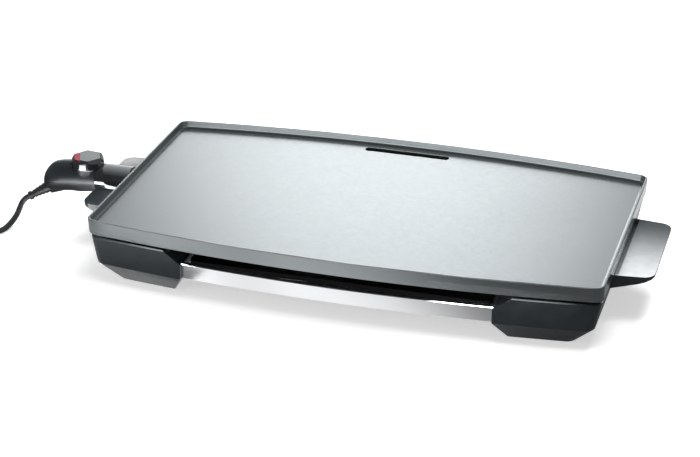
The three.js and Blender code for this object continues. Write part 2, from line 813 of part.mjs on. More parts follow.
// The right end frame; the split one is its mirror image, with a channel for the thermostat.
function endFrame(split) {
  const form = baseForm(0, frameTop, soleHeight);
  const hollow = baseForm(frameWall, frameTop - frameWall, -soleHeight * 2);
  const feet = bothSides((direction) => cut(
    form.intersect(footFace(0)).intersect(footSide(direction, 0)),
    hollow.intersect(footFace(frameWall)).intersect(footSide(direction, frameWall)),
  ));
  const wallHollow = baseForm(frameWall, frameTop + 5, soleHeight);
  const wall = cut(form.intersect(block([shelfReach, plateLength / 2], [-footBack - 1, footBack + 1],
    [shelfBottom, frameTop])), wallHollow);
  const shelf = form.intersect(block([shelfReach, plateLength / 2], [-shelfHalfWidth, shelfHalfWidth],
    [shelfBottom, shelfBottom + shelfThickness]));
  const shelfBosses = bothSides((direction) => rod('z', shelfBossRadius, shelfBottom - shelfBossDepth,
    shelfBottom + shelfThickness, [shelfScrewX, direction * shelfScrewY, 0]));
  const posts = bothSides((direction) => rod('z', postRadius, soleHeight, frameTop - frameWall / 2,
    [postX, direction * postY, 0]));
  const railBosses = bothSides((direction) => rod('z', screwHeadRadius, railTop + seatGap,
    frameTop - frameWall / 2, [railScrewX, direction * railScrewY, 0]));
  const groove = block([grooveStart, grooveEnd], [-handleHalfWidth + handleSkin, handleHalfWidth - handleSkin],
    [frameTop - grooveDepth, rimTop]);
  const padRecess = bothSides((direction) => rod('z', footPadRadius + seatGap, 0, footPadHeight + seatGap,
    [postX, direction * postY, 0]));
  const stemHoles = bothSides((direction) => rod('z', restStemRadius + seatGap,
    frameTop - restStemLength - seatGap, rimTop, [postX, direction * postY, 0]));
  const railSlots = bothSides((direction) => railSweep(direction, railSection(seatGap), railEnd + overrun));
  const railHoles = bothSides((direction) => rod('z', screwRadius + seatGap, railTop - overrun,
    frameTop - frameWall - overrun, [railScrewX, direction * railScrewY, 0], { sides: holeSides }));
  const shelfHoles = bothSides((direction) => rod('z', screwRadius + seatGap, shelfBottom - shelfBossDepth + 1,
    panBottom, [shelfScrewX, direction * shelfScrewY, 0], { sides: holeSides }));
  const frame = cut(
    joined(...feet, wall, shelf, ...shelfBosses, ...posts, ...railBosses, handle(split)),
    groove, ...padRecess, ...stemHoles, ...railSlots, ...railHoles, ...shelfHoles,
  );
  if (!split) return frame;
  const channel = block([grooveStart - seatGap, handleTip + overrun],
    [-channelHalfWidth, channelHalfWidth], [0, rimTop]);
  const notch = block([shelfReach, plateLength / 2], [-notchHalfWidth, notchHalfWidth], [notchFloor, rimTop]);
  return moved(cut(frame, channel, notch), new THREE.Matrix4().makeScale(-1, 1, 1));
}

addPiece('right_end_frame', endFrame(false), blackPlastic);
addPiece('left_end_frame', endFrame(true), blackPlastic);

function rail(direction) {
  const strip = railSweep(direction, railSection(0), railEnd);
  const holes = ends.map(([, end]) => rod('z', screwRadius + seatGap, railTop - railThickness - overrun,
    railTop + overrun, [end * railScrewX, direction * railScrewY, 0], { sides: holeSides }));
  return cut(strip, ...holes);
}

for (const [sideName, direction] of sides) {
  addPiece(`${sideName}_rail`, rail(direction), brightSteel);
  for (const [endName, end] of ends) {
    addPiece(`rail_screw_${sideName}_${endName}`, screw(end * railScrewX, direction * railScrewY,
      railTop - railThickness - seatGap, railTop + railScrewReach), screwSteel);
    const place = [end * postX, direction * postY, 0];
    addPiece(`foot_pad_${sideName}_${endName}`, rod('z', footPadRadius - footPadBevel, 0, footPadHeight, place,
      { endRadius: footPadRadius, sides: roundSides }), rubber);
    const restTop = floorUnder - seatGap;
    const pad = joined(
      rod('z', restPadRadius, frameTop + seatGap, restTop, place, { endRadius: restPadRadius - restPadDraft }),
      rod('z', restStemRadius, frameTop - restStemLength, restTop - overrun, place),
    );
    addPiece(`plate_rest_${sideName}_${endName}`, pad, silicone);
  }
}

// Heat shield and drip tray

function panOutline(inset) {
  const long = panCentreLength - inset;
  const wide = panHalfWidth - inset;
  const far = panLobeLength - inset;
  const lobe = panLobeHalfWidth - inset;
  const outer = panCorner - inset;
  const inner = panCorner + inset;
  return [
    [-far, -lobe, outer], [-long, -lobe, inner], [-long, -wide, outer], [long, -wide, outer],
    [long, -lobe, inner], [far, -lobe, outer], [far, lobe, outer], [long, lobe, inner],
    [long, wide, outer], [-long, wide, outer], [-long, lobe, inner], [-far, lobe, outer],
  ];
}

function heatShield() {
  const pan = prism('xy', panOutline(0), panBottom, panRim);
  const hollow = prism('xy', panOutline(sheetThickness), panBottom + sheetThickness, panRim + overrun);
  const holes = ends.flatMap(([, end]) => bothSides((direction) => rod('z', screwRadius + seatGap,
    panBottom - overrun, panBottom + sheetThickness + overrun,
    [end * shelfScrewX, direction * shelfScrewY, 0], { sides: holeSides })));
  return cut(pan, hollow, ...holes);
}
addPiece('heat_shield', heatShield(), darkSheet);
for (const [endName, end] of ends) {
  for (const [sideName, direction] of sides) {
    addPiece(`shield_screw_${sideName}_${endName}`, screw(end * shelfScrewX, direction * shelfScrewY,
      panBottom + sheetThickness + seatGap, shelfBottom - 1), screwSteel);
  }
}

function dripTray() {
  const outline = (inset) => [
    [-trayHalfLength + inset, trayFront + inset, trayCorner - inset],
    [trayHalfLength - inset, trayFront + inset, trayCorner - inset],
    [trayHalfLength - inset, trayBack - trayLip - inset, trayCorner - inset],
    [-trayHalfLength + inset, trayBack - trayLip - inset, trayCorner - inset],
  ];
  const body = prism('xy', outline(0), trayBottom, trayTop);
  const hollow = prism('xy', outline(trayWall), trayBottom + trayWall, trayTop + overrun);
  const gripStart = trayBack - trayLip - trayWall / 2;
  const grip = prism('yz', [
    [gripStart, trayTop - trayGripHeight], [trayBack, trayTop - trayGripHeight, 1],
    [trayBack, trayTop, 1], [gripStart, trayTop],
  ], -trayHalfLength / 2, trayHalfLength / 2);
  return joined(cut(body, hollow), grip);
}
addPiece('drip_tray', dripTray(), darkSheet);

// A runner is a folded strip on the shield's floor that holds one edge of the tray.
function runner(end) {
  const face = trayHalfLength + runningGap;
  const foot = panBottom + sheetThickness + seatGap;
  const ledge = trayBottom - seatGap;
  const section = [
    [face - runnerLedge, ledge - runnerThickness], [face, ledge - runnerThickness], [face, foot],
    [face + runnerFoot, foot], [face + runnerFoot, foot + runnerThickness],
    [face + runnerThickness, foot + runnerThickness], [face + runnerThickness, runnerTop],
    [face, runnerTop], [face, ledge], [face - runnerLedge, ledge],
  ].map(([x, z]) => [end * x, z]);
  return prism('xz', end > 0 ? section : section.reverse(), runnerFront, runnerBack);
}
for (const [endName, end] of ends) {
  addPiece(`tray_runner_${endName}`, runner(end), darkSheet);
}

// Thermostat

function gripRing(x, centre, halfWidth, halfHeight) {
  return Array.from({ length: gripSides }, (_, k) => {
    const angle = (k / gripSides) * 2 * Math.PI;
    return new THREE.Vector3(-x, halfWidth * Math.cos(angle), centre + halfHeight * Math.sin(angle));
  });
}

function gripStation(share, drop, wider, taller) {
  return [seamX + share * gripLength, axisHeight - drop, gripRadius + wider, gripRadius + taller];
}

// Stations along the grip: distance from the plate's middle, axis height, half width, half height.
const gripStations = [
  [seamX + seatGap, axisHeight, gripRadius, gripRadius],
  gripStation(14 / 66, 1.4, 1.5, 2),
  gripStation(29 / 66, 2.5, 1.5, 1.2),
  gripStation(41 / 66, 4, 1.3, 1.3),
  gripStation(49 / 66, 5.5, 0.2, 0.8),
  gripStation(56 / 66, 8.2, -2, -1.2),
  gripStation(61 / 66, 11, -6, -5),
  gripStation(64.4 / 66, 12.4, -11.5, -10.5),
  gripStation(1, 12.4, -16.2, -16.2),
];

// The grip's outer form, or with an inset its hollow, which starts before the seam.
function gripForm(inset) {
  if (!inset) return loft(gripStations.map((station) => gripRing(...station)));
  const rings = gripStations.filter(([, , , half]) => half > 2 * inset)
    .map(([x, height, width, half]) => gripRing(x, height, width - inset, half - inset));
  const mouth = gripRing(seamX - overrun, axisHeight, gripRadius - inset, gripRadius - inset);
  return loft([mouth, ...rings]);
}

// A turned piece whose own axis runs from one point towards another; heights are from the first.
function turnedAlong(profile, from, to, segments = 16) {
  const points = profile.map(([radius, height]) => new THREE.Vector2(radius, height));
  const geometry = new THREE.LatheGeometry(points, segments);
  const direction = to.clone().sub(from).normalize();
  geometry.applyQuaternion(new THREE.Quaternion().setFromUnitVectors(new THREE.Vector3(0, 1, 0), direction));
  geometry.translate(from.x, from.y, from.z);
  return solid(geometry);
}

const reliefLength = reliefStart.distanceTo(reliefEnd);
const spoutBoreRadius = reliefRootRadius + seatGap;
const spoutTipRadius = spoutBoreRadius + spoutWall;
const spout = turnedAlong([
  [0, -spoutRootDepth], [spoutRootRadius, -spoutRootDepth], [spoutTipRadius, spoutLength], [0, spoutLength],
], reliefStart, reliefEnd, gripSides);
const reliefSeat = reliefRootRadius + reliefFlange + seatGap;
const spoutBore = turnedAlong([
  [0, -spoutRootDepth - overrun], [reliefSeat, -spoutRootDepth - overrun], [reliefSeat, seatGap],
  [spoutBoreRadius, seatGap], [spoutBoreRadius, reliefLength], [0, reliefLength],
], reliefStart, reliefEnd, gripSides);
const atKnob = [-knobX, 0, 0];
const above = rimTop + 20;
const pocket = rod('z', knobRadius + runningGap, plinthTop, above, atKnob, { sides: roundSides });
const shellWide = [-gripRear, gripRear];

function shells() {
  const plinth = rod('z', plinthRadius, plinthFoot, plinthTop, atKnob, { sides: roundSides });
  const plinthHollow = rod('z', plinthRadius - gripWall, splitHeight, plinthTop - gripWall, atKnob,
    { sides: roundSides });
  const behindSeam = block([-gripRear, -seamX], shellWide, [0, above]);
  const outer = joined(gripForm(0), plinth.intersect(behindSeam), spout);
  const hollow = joined(gripForm(gripWall), plinthHollow);
  const spindleHole = rod('z', spindleRadius + runningGap, splitHeight, rimTop, atKnob);
  const upperHalf = block([-2 * gripRear, 0], shellWide, [splitHeight + seatGap / 2, above]);
  const lowerHalf = block([-2 * gripRear, 0], shellWide, [0, splitHeight - seatGap / 2]);
  const screwSeat = splitHeight - shellScrewSeat;
  const columns = bothSides((direction) => gripForm(gripWall / 2).intersect(rod('z',
    screwHeadRadius + shellColumnWall, 0, rimTop, [-shellScrewX, direction * shellScrewY, 0])));
  const screwHoles = bothSides((direction) => rod('z', screwRadius + seatGap, 0,
    splitHeight + shellScrewReach + overrun, [-shellScrewX, direction * shellScrewY, 0], { sides: holeSides }));
  const headHoles = bothSides((direction) => rod('z', screwHeadRadius + seatGap, 0, screwSeat,
    [-shellScrewX, direction * shellScrewY, 0], { sides: holeSides }));
  const switchRest = gripForm(gripWall / 2).intersect(block(
    [-seamX - restFront - restLength, -seamX - restFront], [-switchHalfWidth, switchHalfWidth],
    [0, axisHeight - switchHalfHeight - seatGap]));
  const openings = [pocket, spindleHole, spoutBore, ...screwHoles, ...headHoles];
  const shell = cut(joined(cut(outer, hollow), ...columns, switchRest), ...openings);
  const collarSpace = rod('x', collarRadius + seatGap, -seamX, -collarFront, [0, 0, axisHeight],
    { sides: roundSides });
  const apron = cut(plinth, plinthHollow, pocket, spindleHole)
    .intersect(block([-seamX - overrun, 0], shellWide, [plinthTop - apronDepth, rimTop]));
  return {
    upper: joined(shell.intersect(upperHalf), apron),
    lower: cut(shell.intersect(lowerHalf), collarSpace),
  };
}

const { upper, lower } = shells();
addPiece('thermostat_upper_shell', upper, blackPlastic);
addPiece('thermostat_lower_shell', lower, blackPlastic);
for (const [sideName, direction] of sides) {
  addPiece(`shell_screw_${sideName}`, screw(-shellScrewX, direction * shellScrewY,
    splitHeight - shellScrewSeat - seatGap, splitHeight + shellScrewReach), screwSteel);
}

const thermostatAxis = [0, 0, axisHeight];
function collar() {
  const many = { sides: roundSides };
  const spigotRadius = gripRadius - gripWall - seatGap;
  const spigotEnd = -seamX - spigotLength;
  const tube = rod('x', collarRadius, -seamX, -collarFront, thermostatAxis, many);
  const bore = rod('x', collarInner, -seamX + 2 * overrun, -collarFront + overrun, thermostatAxis, many);
  const spigot = rod('x', spigotRadius, spigotEnd, -seamX + overrun, thermostatAxis, many);
  const spigotBore = rod('x', spigotRadius - spigotWall, spigotEnd - overrun, -seamX + 3 * overrun,
    thermostatAxis, many);
  const scoop = rod('z', plinthRadius + seatGap, plinthFoot - seatGap, above, atKnob, many);
  return cut(joined(tube, spigot), bore, spigotBore, scoop, pocket);
}
addPiece('thermostat_collar', collar(), glossBlack);

const contactOuter = pinRadius + contactGap + contactWall;
function socketNose() {
  const body = rod('x', collarInner - seatGap, -noseRear, -collarFront - noseRecess, thermostatAxis,
    { sides: roundSides });
  const bores = bothSides((direction) => rod('x', contactOuter + seatGap, -noseRear - overrun, -collarFront,
    [0, direction * pinY, pinHeight]));
  const probeBore = rod('x', probeRadius + seatGap, -noseRear - overrun, -collarFront, [0, 0, pinHeight]);
  return cut(body, ...bores, probeBore);
}
addPiece('socket_nose', socketNose(), ceramic);
for (const [sideName, direction] of sides) {
  const place = [0, direction * pinY, pinHeight];
  const start = -noseRear + overrun;
  const tube = rod('x', contactOuter, start, start + contactLength, place);
  const bore = rod('x', contactOuter - contactWall, start - overrun, start + contactLength + overrun, place);
  addPiece(`contact_sleeve_${sideName}`, cut(tube, bore), brass);
}
addPiece('probe_rod', rod('x', probeRadius, -switchFront + seatGap, -probeTip, [0, 0, pinHeight]), screwSteel);

function switchBlock() {
  const top = axisHeight + switchHalfHeight;
  const bottom = axisHeight - switchHalfHeight;
  const frame = prism('xz', [
    [-switchFront - switchLength, bottom, 2], [-switchFront, bottom, 2], [-switchFront, top - switchStep, 1],
    [-switchFront - switchStepLength, top - switchStep], [-switchFront - switchStepLength, top, 1],
    [-switchFront - switchLength, top, 2],
  ], -switchHalfWidth, switchHalfWidth);
  const slots = Array.from({ length: switchSlots }, (_, k) => {
    const start = -switchFront - (k + 1) * switchSlotPitch;
    return block([start - switchSlotWidth, start], [-switchHalfWidth - overrun, switchHalfWidth + overrun],
      [axisHeight - switchSlotWidth, axisHeight + switchSlotWidth]);
  });
  return cut(frame, ...slots);
}
addPiece('switch_block', switchBlock(), ceramic);

// Control knob

// Corners of the knob's six-sided form at a distance from its axis to the middle of a side.
function knobCorners(apothem) {
  const reach = apothem / Math.cos(Math.PI / knobFacets);
  return Array.from({ length: knobFacets }, (_, k) => {
    const angle = THREE.MathUtils.degToRad(knobTurn - 30) + (k / knobFacets) * 2 * Math.PI;
    return [-knobX + reach * Math.cos(angle), reach * Math.sin(angle)];
  });
}

function knob() {
  const bevelStart = knobBottom + knobSide;
  const profile = [
    [0, knobBottom], [knobRadius - knobEdge, knobBottom], [knobRadius, knobBottom + knobEdge],
    [knobRadius, knobTop], [0, knobTop],
  ].map(([radius, height]) => new THREE.Vector2(radius, height));
  const drum = new THREE.LatheGeometry(profile, 36);
  drum.rotateX(Math.PI / 2);
  drum.translate(-knobX, 0, 0);
  const ring = (apothem, height) => knobCorners(apothem).map(([x, y]) => new THREE.Vector3(x, y, height));
  const wide = knobRadius + 2 * knobBevel;
  const facets = loft([
    ring(wide, knobBottom - overrun), ring(wide, bevelStart - (wide - knobRadius) * knobSlope),
    ring(knobTopRadius, knobTop), ring(knobTopRadius, knobTop + overrun),
  ]);
  return solid(drum).intersect(facets);
}

// The lens is the part of a round window that lies beyond a straight inner edge.
function lensForm(gap) {
  const reach = lensRadius + gap;
  const half = Math.acos((lensInner - gap) / reach);
  const rim = Array.from({ length: lensSides + 1 }, (_, k) => {
    const angle = half * (2 * k / lensSides - 1);
    return [reach * Math.cos(angle), reach * Math.sin(angle)];
  });
  const form = prism('xy', rim, knobTop - knobBevel - lensSkirt - gap, knobTop + overrun);
  const turn = new THREE.Matrix4().makeRotationZ(THREE.MathUtils.degToRad(lensTurn));
  return moved(form, turn.setPosition(-knobX, 0, 0));
}

function capForm(gap, bottom, top) {
  const corners = knobCorners(knobTopRadius - capInset + gap).map(([x, y]) => [x, y, capCorner]);
  return prism('xy', corners, bottom, top);
}

const knobBody = knob();
const capBottom = knobTop - capThickness;
const spindleTop = knobTop - spindleCover;
addPiece('control_knob', cut(knobBody, lensForm(seatGap), capForm(seatGap, capBottom, knobTop + overrun),
  rod('z', spindleRadius + seatGap, knobBottom - overrun, spindleTop + seatGap, atKnob)), glossBlack);
addPiece('knob_lens', knobBody.intersect(lensForm(0)), redLens);
addPiece('knob_cap', cut(capForm(0, capBottom + seatGap, knobTop), lensForm(seatGap)), satinGrey);
addPiece('knob_spindle', rod('z', spindleRadius, axisHeight + switchHalfHeight + seatGap, spindleTop, atKnob),
  screwSteel);

// Mains cord

function cordRelief() {
  const flange = reliefRootRadius + reliefFlange;
  const profile = [[0, -reliefFlangeDepth], [flange, -reliefFlangeDepth], [flange, 0], [reliefRootRadius, 0]];
  const ribStart = spoutLength + 3;
  const ribStep = (reliefLength - 5 - ribStart) / reliefRibs;
  for (let k = 0; k < reliefRibs; k += 1) {
    const start = ribStart + k * ribStep;
    const radius = THREE.MathUtils.lerp(reliefRootRadius, reliefTipRadius, k / reliefRibs);
    profile.push([radius, start], [radius, start + 0.5 * ribStep],
      [radius - 0.9, start + 0.6 * ribStep], [radius - 0.9, start + 0.95 * ribStep]);
  }
  profile.push([reliefCollar, reliefLength - 4.4], [reliefCollar, reliefLength - 0.6],
    [reliefCollar - 0.6, reliefLength], [0, reliefLength]);
  return turnedAlong(profile, reliefStart, reliefEnd, 12);
}
addPiece('cord_relief', cordRelief(), cordRubber);

function tubeAlong(points, steps) {
  const curve = new THREE.CatmullRomCurve3(points, false, 'centripetal');
  const section = new THREE.Shape(circleSection(cordRadius, 8).map(([u, v]) => new THREE.Vector2(u, v)));
  return new THREE.ExtrudeGeometry(section, { steps, extrudePath: curve });
}

// The coil winds inwards on the surface, climbs a layer in a half turn and winds outwards again.
const layerRise = coilPitch;
function coilPath() {
  const outer = coilInner + coilTurns * coilPitch;
  const turns = 2 * coilTurns + 0.5;
  const count = Math.round(turns * coilSteps);
  return Array.from({ length: count + 1 }, (_, i) => {
    const turn = (i / count) * turns;
    const climb = THREE.MathUtils.clamp((turn - coilTurns) / 0.5, 0, 1);
    const lower = outer - coilPitch * turn;
    const higher = coilInner + coilPitch * (turn - coilTurns - 0.5);
    const between = coilInner - coilDip * Math.sin(Math.PI * climb);
    const radius = turn < coilTurns ? lower : climb < 1 ? between : higher;
    const rise = layerRise * THREE.MathUtils.smoothstep(climb, 0, 1);
    const angle = -2 * Math.PI * turn;
    const height = cordRadius + surfaceGap + rise;
    return new THREE.Vector3(radius * Math.cos(angle), radius * Math.sin(angle), height).add(coilCentre);
  });
}

function leastGap(path, apart) {
  let least = Infinity;
  for (let i = 0; i < path.length; i += 1) {
    for (let j = i + apart; j < path.length; j += 1) {
      for (const share of [0, 0.25, 0.5, 0.75]) {
        const near = path[j].clone().lerp(path[Math.min(j + 1, path.length - 1)], share);
        least = Math.min(least, path[i].distanceTo(near));
      }
    }
  }
  return least - cordDiameter;
}

const coil = coilPath();
console.log('least gap of the coil to itself', leastGap(coil, coilSteps / 2).toFixed(2), 'mm');
addPiece('cord_coil', loftGeometry(sweepRings(coil, circleSection(cordRadius, coilSides))), cordRubber);

// Free stretches: from the relief to the coil, and from the coil to the plug.
const reliefWay = reliefEnd.clone().sub(reliefStart).normalize();
const coilStart = coil[0];
const coilEnd = coil.at(-1);
const leadIn = coil[0].clone().sub(coil[1]).normalize();
const tailOut = coil.at(-1).clone().sub(coil.at(-2)).normalize();
const leadPoints = [
  reliefEnd.clone().addScaledVector(reliefWay, seatGap),
  reliefEnd.clone().addScaledVector(reliefWay, cordRadius),
  cordPoint(20.6, -24, 23.9),
  cordPoint(24, -36.5, 10.6),
  cordPoint(27.7, -60.6, 4),
  cordPoint(34.4, -75.8, 3.6),
  cordPoint(39.5, -92, 3.6),
  cordPoint(46.6, -108, 3.6),
  coilStart.clone().addScaledVector(leadIn, cordDiameter),
  coilStart.clone().addScaledVector(leadIn, seatGap),
];
addPiece('cord_lead', tubeAlong(leadPoints, 18), cordRubber);

const plugAxis = plugRadius + surfaceGap;
const tailPoints = [
  coilEnd.clone().addScaledVector(tailOut, seatGap),
  coilEnd.clone().addScaledVector(tailOut, cordDiameter),
  cordPoint(144, -106, 12.6),
  cordPoint(138, -87, 14.5),
  cordPoint(131, -70, 16.5),
  cordPoint(126, -54, 18),
  new THREE.Vector3(plugX, plugRear - cordDiameter, plugAxis),
  new THREE.Vector3(plugX, plugRear - seatGap, plugAxis),
];
addPiece('cord_tail', tubeAlong(tailPoints, 12), cordRubber);
const lengthOf = (points) => new THREE.CatmullRomCurve3(points, false, 'centripetal').getLength();
const cordLength = lengthOf(leadPoints) + lengthOf(coil) + lengthOf(tailPoints);
console.log('cord length', cordLength.toFixed(0), 'mm');

function plugBody() {
  const stations = [
    [0, 5], [4, 5.4], [12, 7], [20, 12], [26, 16.5], [29, 17.6], [32, 17.6], [33, plugRadius],
    [plugLength - 1, plugRadius], [plugLength, plugRadius - 0.8],
  ];
  const profile = [[0, 0], ...stations.map(([at, radius]) => [radius, at]), [0, plugLength]];
  const from = new THREE.Vector3(plugX, plugRear, plugAxis);
  const body = turnedAlong(profile, from, new THREE.Vector3(plugX, 0, plugAxis), 20);
  const front = plugRear + plugLength;
  const flats = ends.map(([, end]) => {
    const near = plugX + end * plugFlatHalf;
    const far = plugX + end * 2 * plugRadius;
    return block([Math.min(near, far), Math.max(near, far)], [plugRear - overrun, front + overrun],
      [plugAxis - plugFlatHeight / 2, plugAxis + plugFlatHeight / 2]);
  });
  const pinHoles = ends.map(([, end]) => rod('y', plugPinRadius + seatGap, front - plugPinSeat, front + overrun,
    [plugX + (end * plugPinSpacing) / 2, 0, plugAxis]));
  return cut(body, ...flats, ...pinHoles);
}
addPiece('plug_body', plugBody(), rubber);
for (const [endName, end] of ends) {
  const front = plugRear + plugLength;
  const tip = front + plugPinLength;
  const place = [plugX + (end * plugPinSpacing) / 2, 0, plugAxis];
  addPiece(`plug_pin_${endName}`, joined(
    rod('y', plugPinRadius, front - plugPinSeat + seatGap, tip - plugPinPoint, place),
    rod('y', plugPinRadius, tip - plugPinPoint, tip, place, { endRadius: plugPinRadius - 1 }),
  ), screwSteel);
}

export default group;
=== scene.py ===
"""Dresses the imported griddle: camera, cord, finer pieces, materials, floor and light.

The pieces are drawn in millimetres in the plate's own frame, whose middle is at the origin.
metres() takes them to the row frame, where the plate's middle lies SHIFT along +X. The camera,
the lamps, the cards and the textures are in metres of the row frame.
"""

import json
import math

import bmesh
import bpy
from mathutils import Matrix, Vector


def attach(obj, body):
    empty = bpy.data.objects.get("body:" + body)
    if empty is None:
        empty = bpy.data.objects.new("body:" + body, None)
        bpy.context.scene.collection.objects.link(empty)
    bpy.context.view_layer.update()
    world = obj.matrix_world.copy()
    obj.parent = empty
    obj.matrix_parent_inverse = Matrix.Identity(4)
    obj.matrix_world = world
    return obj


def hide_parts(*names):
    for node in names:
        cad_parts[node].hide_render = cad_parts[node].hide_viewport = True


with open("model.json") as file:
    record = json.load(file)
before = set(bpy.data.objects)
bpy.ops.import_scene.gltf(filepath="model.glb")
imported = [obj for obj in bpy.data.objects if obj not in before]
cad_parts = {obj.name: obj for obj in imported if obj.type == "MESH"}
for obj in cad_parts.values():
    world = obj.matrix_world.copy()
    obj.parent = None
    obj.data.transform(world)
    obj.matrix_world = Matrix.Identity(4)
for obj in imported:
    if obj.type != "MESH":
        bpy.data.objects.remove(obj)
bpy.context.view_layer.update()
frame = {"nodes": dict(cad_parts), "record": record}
scene = bpy.context.scene
scene.view_settings.view_transform = "Standard"

SHIFT = 40.0
SEAT_GAP = 0.3
RUNNING_GAP = 0.6


def metres(point):
    return Vector((point[0] + SHIFT, point[1], point[2])) * 0.001


# Camera

CAMERA_PLACE = (0.61839, -2.03761, 1.06419)
CAMERA_RIGHT = (0.95818, 0.28616, 0.00119)
CAMERA_DOWN = (0.12583, -0.41754, -0.89990)
CAMERA_FORWARD = (-0.25702, 0.86242, -0.43609)
CAMERA_LENS = 102.41


def add_camera():
    data = bpy.data.cameras.new("camera")
    data.sensor_width = 36
    data.sensor_fit = "HORIZONTAL"
    data.lens = CAMERA_LENS
    data.clip_start = 0.05
    data.clip_end = 50
    camera = bpy.data.objects.new("camera", data)
    scene.collection.objects.link(camera)
    columns = (Vector(CAMERA_RIGHT), -Vector(CAMERA_DOWN), -Vector(CAMERA_FORWARD))
    turn = Matrix(columns).transposed().to_4x4()
    camera.matrix_world = Matrix.Translation(CAMERA_PLACE) @ turn
    scene.camera = camera


add_camera()


# Materials


NOISE_RANGE = (0.3, 0.7)
UPRIGHT_RANGE = (0.3, 0.8)


def new_material(name):
    material = bpy.data.materials.new(name)
    material.use_nodes = True
    return material


def add_node(tree, kind, inputs, **settings):
    """Adds a shader node; each of its inputs is a value or the output of another node."""
    node = tree.nodes.new(f"ShaderNode{kind}")
    for setting, value in settings.items():
        setattr(node, setting, value)
    for socket, value in inputs.items():
        if isinstance(value, bpy.types.NodeSocket):
            tree.links.new(value, node.inputs[socket])
        else:
            node.inputs[socket].default_value = value
    return node


def calculated(tree, operation, first, second=0.0):
    return add_node(tree, "Math", {0: first, 1: second}, operation=operation).outputs[0]


def ranged(tree, value, source, target=(0, 1), interpolation="LINEAR"):
    """Takes a value from one range to another, and holds it at the ends."""
    inputs = {"Value": value, "From Min": source[0], "From Max": source[1], "To Min": target[0],
              "To Max": target[1]}
    return add_node(tree, "MapRange", inputs, interpolation_type=interpolation).outputs["Result"]


def coordinates(tree, kind="Object"):
    return add_node(tree, "TexCoord", {}).outputs[kind]


def separated(tree, vector):
    return add_node(tree, "SeparateXYZ", {"Vector": vector}).outputs


class Shader:
    """A Principled material with helpers for the procedural textures behind it."""

    def __init__(self, name, colour, roughness, metallic=0.0, **sockets):
        self.material = new_material(name)
        self.tree = self.material.node_tree
        self.inputs = self.tree.nodes["Principled BSDF"].inputs
        self.inputs["Base Color"].default_value = (*colour, 1)
        self.inputs["Roughness"].default_value = roughness
        self.inputs["Metallic"].default_value = metallic
        for socket, value in sockets.items():
            self.inputs[socket.replace("_", " ")].default_value = value
        self.place = coordinates(self.tree)
        self.colour = colour
        self.roughness = roughness

    def noise(self, scale, detail, stretch=(1, 1, 1)):
        mapping = add_node(self.tree, "Mapping", {"Vector": self.place, "Scale": stretch})
        inputs = {"Vector": mapping.outputs["Vector"], "Scale": scale, "Detail": detail}
        return add_node(self.tree, "TexNoise", inputs).outputs["Fac"]

    def spots(self, scale, size):
        cells = add_node(self.tree, "TexVoronoi", {"Vector": self.place, "Scale": scale})
        return ranged(self.tree, cells.outputs["Distance"], (0, size), (1, 0))

    def vary_roughness(self, value, spread):
        limits = (self.roughness - spread, self.roughness + spread)
        self.tree.links.new(ranged(self.tree, value, NOISE_RANGE, limits), self.inputs["Roughness"])

    def vary_colour(self, value, other):
        first, second = ((*colour, 1) for colour in (self.colour, other))
        inputs = {0: ranged(self.tree, value, NOISE_RANGE), 6: first, 7: second}
        mix = add_node(self.tree, "Mix", inputs, data_type="RGBA")
        self.tree.links.new(mix.outputs[2], self.inputs["Base Color"])

    def upright(self):
        """1 on upright faces and 0 on level ones."""
        normal = separated(self.tree, coordinates(self.tree, "Normal"))
        return ranged(self.tree, calculated(self.tree, "ABSOLUTE", normal["Z"]), UPRIGHT_RANGE, (1, 0))

    def bump(self, value, depth, strength=1.0):
        inputs = {"Height": value, "Distance": depth, "Strength": strength}
        node = add_node(self.tree, "Bump", inputs)
        self.tree.links.new(node.outputs["Normal"], self.inputs["Normal"])
        return self.material

    def textured(self, colour, other, roughness, spread, bump, depth):
        """Varies colour, roughness and height, each by a noise of a given scale and detail."""
        self.vary_colour(self.noise(*colour), other)
        self.vary_roughness(self.noise(*roughness), spread)
        return self.bump(self.noise(*bump), depth)


def cast_coating():
    shader = Shader("cast_coating", (0.305, 0.333, 0.343), 0.24, 0.95)
    shader.vary_colour(shader.noise(9, 4), (0.295, 0.323, 0.333))
    shader.vary_roughness(shader.noise(260, 5), 0.02)
    return shader.bump(shader.noise(900, 3), 0.00012, shader.upright())


def moulded_black():
    shader = Shader("moulded_black", (0.018, 0.024, 0.028), 0.36, Specular_IOR_Level=0.4)
    shader.vary_colour(shader.noise(14, 4), (0.018, 0.023, 0.027))
    shader.vary_roughness(shader.noise(90, 5), 0.05)
    return shader.bump(shader.spots(1900, 0.6), 0.00002, 0.6)


def gloss_black():
    shader = Shader("gloss_black", (0.11, 0.118, 0.124), 0.1, 0.8, Coat_Weight=0.3)
    return shader.textured((30, 3), (0.095, 0.1, 0.105), (160, 5), 0.03, (45, 2), 0.00004)


def bright_steel():
    shader = Shader("bright_steel", (0.86, 0.87, 0.88), 0.2, 1.0)
    streaks = shader.noise(1, 4, stretch=(14, 700, 2600))
    shader.vary_colour(shader.noise(12, 3), (0.82, 0.83, 0.85))
    shader.vary_roughness(streaks, 0.05)
    return shader.bump(streaks, 0.000012)


# Black paint, set darker than paint is to near black so that it also stands for the deep shadow under
# the plate: partly the sheet's own colour, partly painted shade.
def dark_sheet():
    shader = Shader("dark_sheet", (0.002, 0.002, 0.003), 0.6, Specular_IOR_Level=0.12)
    return shader.textured((22, 4), (0.004, 0.004, 0.005), (120, 4), 0.08, (1400, 3), 0.00003)


def element_steel():
    shader = Shader("element_steel", (0.12, 0.115, 0.11), 0.45, 0.9)
    return shader.textured((35, 4), (0.07, 0.055, 0.05), (300, 4), 0.08, (900, 3), 0.00003)


def screw_steel():
    shader = Shader("screw_steel", (0.5, 0.5, 0.51), 0.3, 1.0)
    return shader.textured((160, 3), (0.4, 0.4, 0.41), (700, 3), 0.08, (1600, 2), 0.00002)


